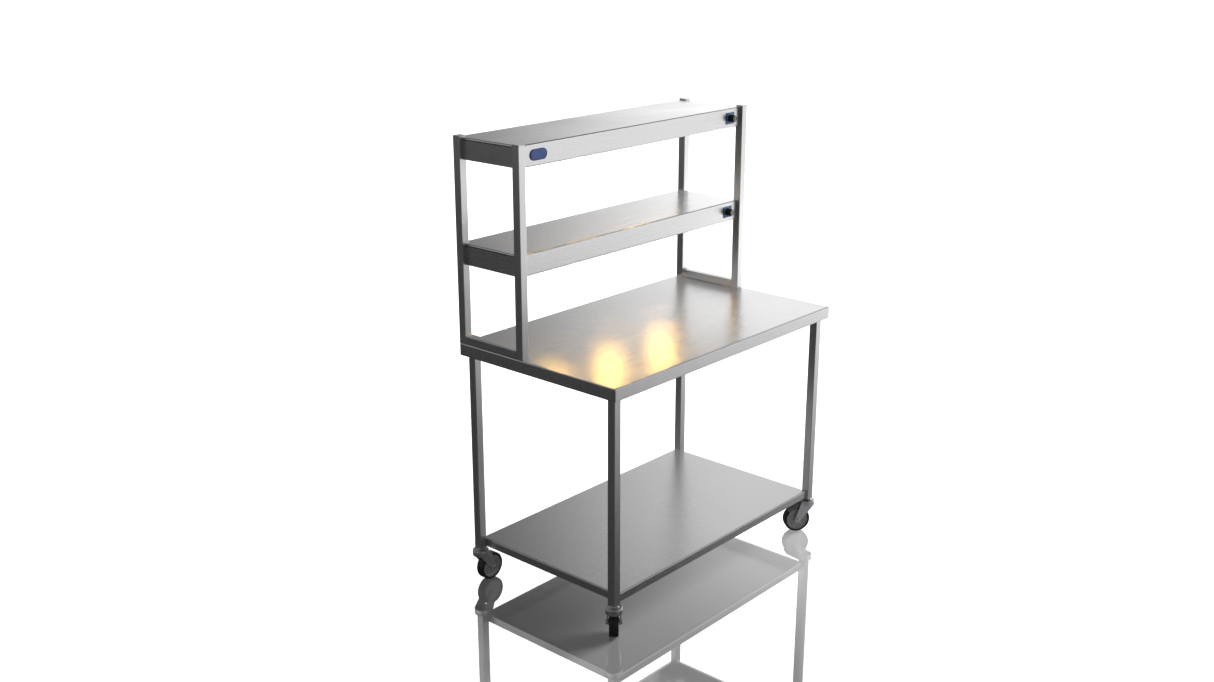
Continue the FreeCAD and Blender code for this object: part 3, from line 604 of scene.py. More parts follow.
BADGE_RIM = PrintedPlate("dark_badge_rim", "badge_blue", colour=(0.010, 0.022, 0.10), roughness=0.4, coat=0.1)
# Painted glow: the reflector dishes emit warm light as if their lamps lit them.
REFLECTOR = LitReflector("lit_reflector", "reflector")
FILAMENT = HotWire("glowing_filament", "quartz")
QUARTZ = ClearGlass("quartz_tube", "quartz", tint=(1.0, 0.93, 0.80), haze=0.04)
SAFETY_GLASS = ClearGlass("safety_glass", "lamp_glass")
CERAMIC = Moulded("steatite", "ceramic", colour=(0.74, 0.71, 0.63), roughness=0.55, wear=(0.85, 0.83, 0.78))
REGULATOR = Moulded("regulator_case", "regulator_case", colour=(0.55, 0.50, 0.38), roughness=0.5)
# Painted shadow: a dark strip in each end plate's groove stands for the shadow line under the turned-down
# edge.
GROOVE_SHADOW = Moulded("dark_sealant", "inlet_black", colour=(0.02, 0.02, 0.02), roughness=0.7, dust=0.05)
INLET = Moulded("black_inlet", "inlet_black", colour=(0.02, 0.02, 0.02), roughness=0.45)


# ------------------------------------------------------------------ outlines


def arc(centre: Pair, radius: float, start: float, end: float, steps: int) -> list[Pair]:
    """Points along an arc.

    Args:
        centre: The arc's centre.
        radius: Its radius.
        start: Its first angle, in degrees.
        end: Its last angle, in degrees.
        steps: How many chords it has.

    Returns:
        The points, ends included.
    """
    turns = [math.radians(start + (end - start) * step / steps) for step in range(steps + 1)]
    return [(centre[0] + radius * math.cos(turn), centre[1] + radius * math.sin(turn)) for turn in turns]


def rounded_rectangle(half_x: float, half_y: float, radius: float, steps: int = 6) -> list[Pair]:
    """A rectangle about the origin with round corners, anticlockwise."""
    points: list[Pair] = []
    for quarter, (side_x, side_y) in enumerate(((1, 1), (-1, 1), (-1, -1), (1, -1))):
        centre = (side_x * (half_x - radius), side_y * (half_y - radius))
        points += arc(centre, radius, 90 * quarter, 90 * quarter + 90, steps)
    return points


def folded_outline(path: Sequence[Pair], radius: float, gauge: float, steps: int = 6) -> list[Pair]:
    """The closed outline of a sheet folded along a path.

    Args:
        path: The outside corners of the fold, from one free edge to the other. The sheet lies to
            the left of the path.
        radius: The outside radius of each bend.
        gauge: The sheet's thickness, less than nothing where it lies to the right of the path.
        steps: How many chords each bend has.

    Returns:
        The outline's points, along the outside and back along the inside.
    """
    outside: list[Pair] = []
    inside: list[Pair] = []
    corners = [Vector(point) for point in path]
    for place, corner in enumerate(corners):
        before = (corner - corners[place - 1]).normalized() if place else None
        after = (corners[place + 1] - corner).normalized() if place + 1 < len(corners) else None
        if before is None or after is None:
            along = after if before is None else before
            outside.append(tuple(corner))
            inside.append(tuple(corner + gauge * Vector((-along.y, along.x))))
            continue
        turn = math.atan2(before.cross(after), before.dot(after))
        side = 1 if turn > 0 else -1
        outer, inner = (radius, radius - abs(gauge)) if turn * gauge > 0 else (radius - abs(gauge), radius)
        reach = outer * math.tan(abs(turn) / 2)
        normal = side * Vector((-before.y, before.x))
        centre = corner - before * reach + normal * outer
        first = math.degrees(math.atan2(-normal.y, -normal.x))
        outside += arc(tuple(centre), outer, first, first + math.degrees(turn), steps)
        inside += arc(tuple(centre), inner, first, first + math.degrees(turn), steps)
    return outside + inside[::-1]


# ------------------------------------------------------------------ mesh work


def hexagon(radius: float) -> list[Pair]:
    """The six corners of a bolt head or a nut."""
    turns = [math.radians(60 * turn) for turn in range(6)]
    return [(radius * math.cos(turn), radius * math.sin(turn)) for turn in turns]


@dataclass
class Form:
    """Points and faces of one piece while it is being made."""

    points: list[Vector] = field(default_factory=list)
    faces: list[tuple[int, ...]] = field(default_factory=list)

    def rings(self, rings: Sequence[Sequence[Vector]], closed: bool = False,
            caps: tuple[bool, bool] = (True, True)) -> "Form":
        """Join equal rings of points by quads.

        Args:
            rings: The rings, in order.
            closed: Whether the last ring joins the first.
            caps: Whether the first and the last ring are filled.

        Returns:
            The form itself.
        """
        first, size = len(self.points), len(rings[0])
        for ring in rings:
            self.points += [Vector(point) for point in ring]
        pairs = len(rings) if closed else len(rings) - 1
        for row in range(pairs):
            low = first + row * size
            high = first + (row + 1) % len(rings) * size
            for place in range(size):
                after = (place + 1) % size
                self.faces.append((low + place, low + after, high + after, high + place))
        if not closed and caps[0]:
            self.faces.append(tuple(first + place for place in reversed(range(size))))
        if not closed and caps[1]:
            last = first + (len(rings) - 1) * size
            self.faces.append(tuple(last + place for place in range(size)))
        return self

    def prism(self, outline: Sequence[Pair], low: float, high: float, place: Matrix = Matrix()) -> "Form":
        """A straight prism of an outline between two heights, then placed."""
        rings = [[place @ Vector((x, y, height)) for x, y in outline] for height in (low, high)]
        return self.rings(rings)

    def block(self, low: Sequence[float], high: Sequence[float], place: Matrix = Matrix()) -> "Form":
        """A box between two corners, then placed."""
        outline = [(low[0], low[1]), (high[0], low[1]), (high[0], high[1]), (low[0], high[1])]
        return self.prism(outline, low[2], high[2], place)

    def lathe(self, profile: Sequence[Pair], place: Matrix, steps: int = 48, closed: bool = True) -> "Form":
        """Turn a profile of (radius, height) points about the local Z axis.

        Args:
            profile: The profile's points. A closed one is a ring's section. An open one starts and
                ends on or near the axis and is filled there.
            place: Where the local frame lies.
            steps: How many steps a full turn has.
            closed: Whether the profile is a closed section.

        Returns:
            The form itself.
        """
        rings = []
        for radius, height in profile:
            turns = [2 * math.pi * step / steps for step in range(steps)]
            rings.append([place @ Vector((radius * math.cos(turn), radius * math.sin(turn), height))
                for turn in turns])
        return self.rings(rings, closed=closed)

    def rod(self, radius: float, low: float, high: float, place: Matrix, steps: int) -> "Form":
        """A round bar between two heights on the local Z axis, then placed."""
        profile = [(0.0, low), (radius, low), (radius, high), (0.0, high)]
        return self.lathe(profile, place, steps, closed=False)

    def mesh(self, name: str) -> bpy.types.Mesh:
        """The form as a mesh with its faces outwards and its doubles merged."""
        made = bpy.data.meshes.new(name)
        made.from_pydata([tuple(point) for point in self.points], [], self.faces)
        work = bmesh.new()
        work.from_mesh(made)
        bmesh.ops.remove_doubles(work, verts=work.verts, dist=1e-6)
        bmesh.ops.dissolve_degenerate(work, edges=work.edges, dist=1e-7)
        bmesh.ops.recalc_face_normals(work, faces=work.faces)
        work.to_mesh(made)
        work.free()
        return made


def evaluated(piece: bpy.types.Object) -> bpy.types.Mesh:
    """A plain mesh of an object with its modifiers applied."""
    graph = bpy.context.evaluated_depsgraph_get()
    graph.update()
    return bpy.data.meshes.new_from_object(piece.evaluated_get(graph), depsgraph=graph)


def joined(meshes: Sequence[bpy.types.Mesh], name: str) -> bpy.types.Mesh:
    """Several meshes as one, with their material numbers shifted so that each keeps its own.

    Args:
        meshes: The meshes, each with its own materials.
        name: The new mesh's name.

    Returns:
        The joined mesh.
    """
    work = bmesh.new()
    materials: list[bpy.types.Material] = []
    for mesh in meshes:
        start = len(work.faces)
        work.from_mesh(mesh)
        work.faces.ensure_lookup_table()
        for material in mesh.materials:
            if material not in materials:
                materials.append(material)
        for face in work.faces[start:]:
            if mesh.materials:
                face.material_index = materials.index(mesh.materials[min(face.material_index,
                    len(mesh.materials) - 1)])
    made = bpy.data.meshes.new(name)
    work.to_mesh(made)
    work.free()
    for material in materials:
        made.materials.append(material)
    return made


def rounded(mesh: bpy.types.Mesh, width: float = 0.0, segments: int = 2,
        angle: float = 35.0) -> bpy.types.Mesh:
    """Round a mesh's sharp edges a little and give it clean normals.

    Args:
        mesh: The mesh.
        width: The edges' rounding, or 0 for none.
        segments: How many faces the rounding has.
        angle: Edges sharper than this, in degrees, are rounded or shown sharp.

    Returns:
        A new plain mesh.
    """
    holder = bpy.data.objects.new("rounding", mesh)
    bpy.context.scene.collection.objects.link(holder)
    if width > 0:
        bevel = holder.modifiers.new("edges", "BEVEL")
        bevel.width = width
        bevel.segments = segments
        bevel.limit_method = "ANGLE"
        bevel.angle_limit = math.radians(angle)
        bevel.harden_normals = False
    rounded_mesh = evaluated(holder)
    holder.modifiers.clear()
    rounded_mesh.shade_smooth()
    rounded_mesh.set_sharp_from_angle(angle=math.radians(angle if width <= 0 else 50.0))
    holder.data = rounded_mesh
    weigh = holder.modifiers.new("normals", "WEIGHTED_NORMAL")
    weigh.keep_sharp = True
    weigh.weight = 100
    finished = evaluated(holder)
    bpy.data.objects.remove(holder)
    return finished


def dressed(mesh: bpy.types.Mesh, finish: Finish) -> bpy.types.Mesh:
    """Give a mesh one finish."""
    mesh.materials.clear()
    mesh.materials.append(finish.material())
    return mesh


def show(name: str, meshes: Sequence[bpy.types.Mesh], finish: Finish, body: str,
        *nodes: str) -> bpy.types.Object:
    """Put a finished piece into the scene and tell the frame about it.

    Args:
        name: The piece's name.
        meshes: Its dressed meshes, in the row's frame.
        finish: Not used.
        body: The body that it rides on.
        *nodes: The CAD nodes that it stands for.

    Returns:
        The piece.
    """
    mesh = meshes[0] if len(meshes) == 1 else joined(meshes, name)
    mesh.name = name
    piece = bpy.data.objects.new(name, mesh)
    bpy.context.scene.collection.objects.link(piece)
    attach(piece, body)
    if nodes:
        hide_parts(*nodes)
    LOG.info("%-28s %6d faces on %s", name, len(mesh.polygons), body)
    return piece


def redress(node: str, finish: Finish) -> None:
    """Give a CAD node that is kept its material."""
    kept = frame["nodes"][node]
    kept.data.materials.clear()
    kept.data.materials.append(finish.material())
    LOG.info("%-28s keeps its shape", node)


def middle_of(node: str) -> Vector:
    """The middle of a CAD node's box."""
    low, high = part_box(node)
    return (low + high) / 2


def standing(x: float, y: float, z: float = 0.0) -> Matrix:
    """A frame at a point, unturned."""
    return Matrix.Translation((x, y, z))


def facing_front(x: float, y: float, z: float) -> Matrix:
    """A frame whose +Z points to the front, along -Y, and whose +Y points up."""
    return Matrix.Translation((x, y, z)) @ Matrix.Rotation(math.radians(90), 4, "X")


# ------------------------------------------------------------------ what repeats


GEOMETRY, INTEGER, MATERIAL = "NodeSocketGeometry", "NodeSocketInt", "NodeSocketMaterial"


def new_shape_tree(name: str, inputs: Iterable[tuple]) -> tuple[Wiring, bpy.types.Node, bpy.types.Node]:
    """An empty geometry tree that takes geometry, named sizes and a material.

    Args:
        name: The tree's name.
        inputs: (name, socket type, default) of each named size.

    Returns:
        The wiring, the input node and the node that sets the material just before the output.
    """
    tree = bpy.data.node_groups.new(name, "GeometryNodeTree")
    tree.interface.new_socket(name="Geometry", in_out="INPUT", socket_type=GEOMETRY)
    for label, kind, default in inputs:
        socket = tree.interface.new_socket(name=label, in_out="INPUT", socket_type=kind)
        socket.default_value = default
    tree.interface.new_socket(name="Material", in_out="INPUT", socket_type=MATERIAL)
    tree.interface.new_socket(name="Geometry", in_out="OUTPUT", socket_type=GEOMETRY)
    wiring = Wiring(tree)
    given = wiring.add("NodeGroupInput")
    painted = wiring.add("GeometryNodeSetMaterial", {"Material": given.outputs["Material"]})
    result = wiring.add("NodeGroupOutput")
    wiring.feed(result.inputs["Geometry"], painted.outputs["Geometry"])
    return wiring, given, painted


def make_row_tree() -> bpy.types.NodeTree:
    """Domed heads in a straight, evenly spaced row."""
    wiring, given, painted = new_shape_tree(
        "row_of_heads",
        [("Count", INTEGER, 8), ("Start", VECTOR, (0, 0, 0)), ("Step", VECTOR, (0.1, 0, 0)),
            ("Head Size", VECTOR, (0.004, 0.004, 0.002))],
    )
    line = wiring.add(
        "GeometryNodeMeshLine",
        {"Count": given.outputs["Count"], "Start Location": given.outputs["Start"],
            "Offset": given.outputs["Step"]},
        mode="OFFSET",
    )
    head = wiring.add("GeometryNodeMeshUVSphere", {"Segments": 16, "Rings": 8, "Radius": 1.0})
    placed = wiring.add(
        "GeometryNodeInstanceOnPoints",
        {"Points": line.outputs["Mesh"], "Instance": head.outputs["Mesh"],
            "Scale": given.outputs["Head Size"]},
    )
    real = wiring.add("GeometryNodeRealizeInstances", {"Geometry": placed.outputs["Instances"]})
    smooth = wiring.add("GeometryNodeSetShadeSmooth", {"Geometry": real.outputs["Geometry"]})
    wiring.feed(painted.inputs["Geometry"], smooth.outputs["Geometry"])
    return wiring.tree


def make_ring_tree() -> bpy.types.NodeTree:
    """Bars spaced round a circle in the local XY plane, each lying along its radius."""
    wiring, given, painted = new_shape_tree(
        "ring_of_bars",
        [("Count", INTEGER, 12), ("First Angle", FLOAT, 0.0), ("Step Angle", FLOAT, 0.5),
            ("Radius", FLOAT, 0.02), ("Bar Size", VECTOR, (0.002, 0.001, 0.001))],
    )
    points = wiring.add("GeometryNodePoints", {"Count": given.outputs["Count"]})
    bar = wiring.add("GeometryNodeMeshCube", {"Size": given.outputs["Bar Size"]})
    reach = wiring.add("ShaderNodeCombineXYZ", {"X": given.outputs["Radius"]})
    out = wiring.add("GeometryNodeTransform",
        {"Geometry": bar.outputs["Mesh"], "Translation": reach.outputs[0]})
    index = wiring.add("GeometryNodeInputIndex")
    turned = wiring.math("ADD", given.outputs["First Angle"],
        wiring.math("MULTIPLY", index.outputs[0], given.outputs["Step Angle"]))
    angles = wiring.add("ShaderNodeCombineXYZ", {"Z": turned})
    placed = wiring.add(
        "GeometryNodeInstanceOnPoints",
        {"Points": points.outputs[0], "Instance": out.outputs["Geometry"], "Rotation": angles.outputs[0]},
    )
    real = wiring.add("GeometryNodeRealizeInstances", {"Geometry": placed.outputs["Instances"]})
    wiring.feed(painted.inputs["Geometry"], real.outputs["Geometry"])
    return wiring.tree


def make_coil_tree() -> bpy.types.NodeTree:
    """Coiled wires, each along X, in a row along X."""
    wiring, given, painted = new_shape_tree(
        "row_of_coils",
        [("Count", INTEGER, 3), ("Start", VECTOR, (0, 0, 0)), ("Pitch", FLOAT, 0.3), ("Turns", FLOAT, 16.0),
         ("Coil Radius", FLOAT, 0.002), ("Length", FLOAT, 0.04), ("Wire Radius", FLOAT, 0.0004)],
    )
    spiral = wiring.add(
        "GeometryNodeCurveSpiral",
        {"Resolution": 14, "Rotations": given.outputs["Turns"], "Start Radius": given.outputs["Coil Radius"],
         "End Radius": given.outputs["Coil Radius"], "Height": given.outputs["Length"]},
    )
    wire = wiring.add("GeometryNodeCurvePrimitiveCircle",
        {"Resolution": 6, "Radius": given.outputs["Wire Radius"]})
    swept = wiring.add(
        "GeometryNodeCurveToMesh",
        {"Curve": spiral.outputs["Curve"], "Profile Curve": wire.outputs["Curve"], "Fill Caps": True},
    )
    half = wiring.math("MULTIPLY", given.outputs["Length"], -0.5)
    shift = wiring.add("ShaderNodeCombineXYZ", {"X": half})
    lying = wiring.add(
        "GeometryNodeTransform",
        {"Geometry": swept.outputs["Mesh"], "Translation": shift.outputs[0],
            "Rotation": (0.0, math.radians(90), 0.0)},
    )
    step = wiring.add("ShaderNodeCombineXYZ", {"X": given.outputs["Pitch"]})
    line = wiring.add(
        "GeometryNodeMeshLine",
        {"Count": given.outputs["Count"], "Start Location": given.outputs["Start"],
            "Offset": step.outputs[0]},
        mode="OFFSET",
    )
    placed = wiring.add("GeometryNodeInstanceOnPoints",
        {"Points": line.outputs["Mesh"], "Instance": lying.outputs["Geometry"]})
    real = wiring.add("GeometryNodeRealizeInstances", {"Geometry": placed.outputs["Instances"]})
    smooth = wiring.add("GeometryNodeSetShadeSmooth", {"Geometry": real.outputs["Geometry"]})
    wiring.feed(painted.inputs["Geometry"], smooth.outputs["Geometry"])
    return wiring.tree


def make_run_tree() -> bpy.types.NodeTree:
    """A flat outline drawn out into a straight run, closed at both ends."""
    wiring, given, painted = new_shape_tree("folded_run", [("Run", VECTOR, (1, 0, 0))])
    drawn = wiring.add(
        "GeometryNodeExtrudeMesh",
        {"Mesh": given.outputs["Geometry"], "Offset": given.outputs["Run"], "Offset Scale": 1.0,
            "Individual": False},
        mode="FACES",
    )
    back = wiring.add("GeometryNodeFlipFaces", {"Mesh": given.outputs["Geometry"]})
    both = wiring.add("GeometryNodeJoinGeometry")
    wiring.feed(both.inputs[0], drawn.outputs["Mesh"])
    wiring.feed(both.inputs[0], back.outputs["Mesh"])
    merged = wiring.add("GeometryNodeMergeByDistance", {"Geometry": both.outputs[0], "Distance": 1e-6})
    real = wiring.add("GeometryNodeRealizeInstances", {"Geometry": merged.outputs["Geometry"]})
    wiring.feed(painted.inputs["Geometry"], real.outputs["Geometry"])
    return wiring.tree


TREES: dict[str, bpy.types.NodeTree] = {}


def build_trees() -> None:
    """Build each geometry tree once."""
    for make in (make_row_tree, make_ring_tree, make_coil_tree, make_run_tree):
        tree = make()
        TREES[tree.name] = tree


def grown(tree: str, finish: Finish, base: bpy.types.Mesh | None = None, **sizes: object) -> bpy.types.Mesh:
    """Run a geometry tree and keep its result as a plain mesh.

    Args:
        tree: The tree's name.
        finish: The finish that it sets.
        base: The mesh that the tree starts from, if it needs one.
        **sizes: Its named inputs, with underscores for spaces.

    Returns:
        The mesh.
    """
    holder = bpy.data.objects.new("grown", base or bpy.data.meshes.new("seed"))
    bpy.context.scene.collection.objects.link(holder)
    modifier = holder.modifiers.new(tree, "NODES")
    modifier.node_group = TREES[tree]
    named = {item.name: item for item in TREES[tree].interface.items_tree if item.in_out == "INPUT"}
    modifier[named["Material"].identifier] = finish.material()
    for label, value in sizes.items():
        modifier[named[label.replace("_", " ")].identifier] = value
    mesh = evaluated(holder)
    bpy.data.objects.remove(holder)
    if not mesh.materials:
        mesh.materials.append(finish.material())
    return mesh


def moved(mesh: bpy.types.Mesh, place: Matrix) -> bpy.types.Mesh:
    """Place a mesh."""
    mesh.transform(place)
    return mesh


def flat(outline: Sequence[Vector], name: str = "outline") -> bpy.types.Mesh:
    """A single face with that outline."""
    mesh = bpy.data.meshes.new(name)
    mesh.from_pydata([tuple(point) for point in outline], [], [tuple(range(len(outline)))])
    return mesh


def run_of(outline: Sequence[Vector], run: Vector, finish: Finish) -> bpy.types.Mesh:
    """A folded section drawn out along a run, with clean normals."""
    mesh = grown("folded_run", finish, flat(outline), Run=tuple(run))
    work = bmesh.new()
    work.from_mesh(mesh)
    bmesh.ops.recalc_face_normals(work, faces=work.faces)
    work.to_mesh(mesh)
    work.free()
    return rounded(mesh)


# ------------------------------------------------------------------ the table


@dataclass
class FoldedPan:
    """A sheet with its four sides folded down and returned inwards as lips."""

    node: str
    apron: float
    gauge: float
    bend: float = 3.5 * MM
    lip: float = 12.0 * MM
    corner: float = 2.5 * MM

    def section(self) -> list[Pair]:
        """The fold's outline as (inset from the edge, depth below the top) points."""
        start = self.bend + 1.0 * MM
        path = [(start, 0.0), (0.0, 0.0), (0.0, self.apron), (self.lip + self.gauge, self.apron)]
        return folded_outline(path, self.bend, -self.gauge)

    def build(self) -> None:
        """Loft the section round the four sides and close the top."""
        low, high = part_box(self.node)
        middle = (low + high) / 2
        half_x, half_y = (high.x - low.x) / 2, (high.y - low.y) / 2
        rings = []
        for inset, depth in self.section():
            radius = max(self.corner - inset, 0.3 * MM)
            ring = rounded_rectangle(half_x - inset, half_y - inset, radius)
            rings.append([Vector((middle.x + x, middle.y + y, high.z - depth)) for x, y in ring])
        mesh = Form().rings(rings, caps=(True, True)).mesh(self.node)
        show(self.node + "_sheet", [dressed(rounded(mesh), SHEET)], SHEET, "table", self.node)


@dataclass
class SquareTube:
    """A square tube with rounded corners, standing or lying along Y."""

    node: str
    lying: bool = False
    wall: float = 1.5 * MM
    corner: float = 2.5 * MM

    def mesh(self) -> bpy.types.Mesh:
        """The tube's walls, open at both ends."""
        low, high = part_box(self.node)
        middle = (low + high) / 2
        side = (high.x - low.x) / 2
        start, end = (low.y, high.y) if self.lying else (low.z, high.z)
        outer = rounded_rectangle(side, side, self.corner, 5)
        inner = rounded_rectangle(side - self.wall, side - self.wall, self.corner - self.wall, 5)

        def ring(outline: Sequence[Pair], at: float) -> list[Vector]:
            if self.lying:
                return [Vector((middle.x + x, at, middle.z + y)) for x, y in outline]
            return [Vector((middle.x + x, middle.y + y, at)) for x, y in outline]

        rings = [ring(outer, start), ring(outer, end), ring(inner, end), ring(inner, start)]
        mesh = Form().rings(rings, closed=True).mesh(self.node)
        return dressed(rounded(mesh), TUBE_LYING if self.lying else TUBE_UP)

    def build(self) -> None:
        """Show the tube."""
        finish = TUBE_LYING if self.lying else TUBE_UP
        show(self.node + "_tube", [self.mesh()], finish, "table", self.node)


@dataclass
class WorkTable:
    """Worktop, legs, lower shelf and the channels below the worktop."""

    corners: tuple[str, ...] = ("front_left", "front_right", "rear_left", "rear_right")
    hat_flange: float = 40.0 * MM
    hat_crown: float = 22.0 * MM
    hat_gauge: float = 1.0 * MM
    hat_height: float = 25.0 * MM
    hat_spread: float = 150.0 * MM

    def build(self) -> None:
        """Build every piece of the table."""
        FoldedPan("worktop", apron=44 * MM, gauge=1.5 * MM).build()
        FoldedPan("lower_shelf", apron=31 * MM, gauge=1.2 * MM).build()
        for corner in self.corners:
            SquareTube("leg_" + corner).build()
        self.channels()

    def hat(self, start: Vector) -> list[Vector]:
        """The outline of one hat channel, seen along X."""
        half, crown, gauge, height = self.hat_flange, self.hat_crown, self.hat_gauge, self.hat_height
        path = [(half, 0), (half, -gauge), (crown, -gauge), (crown, -height), (-crown, -height),
                (-crown, -gauge),
                (-half, -gauge), (-half, 0), (gauge - crown, 0), (gauge - crown, gauge - height),
                (crown - gauge, gauge - height), (crown - gauge, 0)]
        return [start + Vector((0, y, z)) for y, z in path]

    def channels(self) -> None:
        """The two stiffening channels under the worktop."""
        low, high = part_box("stiffening_channels")
        run = Vector((high.x - low.x, 0, 0))
        meshes = [
            run_of(self.hat(Vector((low.x, y, high.z))), run, INNER_SHEET)
            for y in (-self.hat_spread, self.hat_spread)
        ]
        show("stiffening_channel_set", meshes, INNER_SHEET, "table", "stiffening_channels")


# ------------------------------------------------------------------ the gantry


@dataclass
class GantryFrame:
    """Posts, base rails, caps and bolts."""

    places: tuple[str, ...] = ("front_left", "rear_left", "front_right", "rear_right")
    cap_edge: float = 0.8 * MM
    weld: float = 1.6 * MM

    def build(self) -> None:
        """Build both end frames."""
        for place in self.places:
            SquareTube("post_" + place).build()
        for side in ("left", "right"):
            SquareTube("base_rail_" + side, lying=True).build()
        self.caps()
        self.bolts()
        self.welds()

    def caps(self) -> None:
        """A plate with softened edges on top of each post, and its plug inside."""
        form = Form()
        low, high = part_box("post_caps")
        for place in self.places:
            post_low, post_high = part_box("post_" + place)
            middle = (post_low + post_high) / 2
            half = (post_high.x - post_low.x) / 2
            plug = half - 1.6 * MM
            form.prism(
                [(middle.x + x, middle.y + y) for x, y in rounded_rectangle(half, half, 1.5 * MM, 4)],
                post_high.z, high.z
            )
            form.prism(
                [(middle.x + x, middle.y + y) for x, y in rounded_rectangle(plug, plug, 1.0 * MM, 3)], low.z,
                post_high.z
            )
        mesh = dressed(rounded(form.mesh("caps"), self.cap_edge, 3), CAP_SHEET)
        show("post_cap_set", [mesh], CAP_SHEET, "table", "post_caps")

    def bolts(self) -> None:
        """Hexagon bolts with washers under the worktop, their nuts inside the base rails."""
        form = Form()
        low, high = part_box("gantry_bolts")
        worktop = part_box("worktop")[1].z
        sheet = worktop - 1.5 * MM
        for side in (low.x + 6.5 * MM, high.x - 6.5 * MM):
            for y in (low.y + 7.5 * MM, high.y - 7.5 * MM):
                place = standing(side, y)
                corners = hexagon(7.5 * MM)
                form.prism(corners, low.z, sheet - 1.2 * MM, place)
                form.rod(8.6 * MM, sheet - 1.2 * MM, sheet, place, 32)
                form.prism(corners, worktop + 1.5 * MM, worktop + 7.5 * MM, place)
                form.rod(4 * MM, sheet, high.z, place, 24)
        show("gantry_bolt_set", [dressed(rounded(form.mesh("bolts"), 0.5 * MM), BRIGHT)], BRIGHT, "table",
            "gantry_bolts")

    def welds(self) -> None:
        """Blended fillet welds where the base rails meet the posts."""
        form = Form()
        for side in ("left", "right"):
            rail_low, rail_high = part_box("base_rail_" + side)
            for y, inwards in ((rail_low.y, 1), (rail_high.y, -1)):
                rim = 2.5 * MM
                outline = [(0.0, 0.0), (self.weld, 0.0), (self.weld * 0.35, self.weld * 0.35),
                    (0.0, self.weld)]
                start, end = rail_low.x + rim, rail_high.x - rim
                rings = [
                    [Vector((x, y + inwards * (across - 0.2 * MM), rail_high.z + up - 0.2 * MM))
                        for across, up in outline]
                    for x in (start, end)
                ]
                form.rings(rings)
        show("weld_seam_set", [dressed(rounded(form.mesh("welds"), 0.3 * MM), WELD)], WELD, "table")


# ------------------------------------------------------------------ the heated tiers


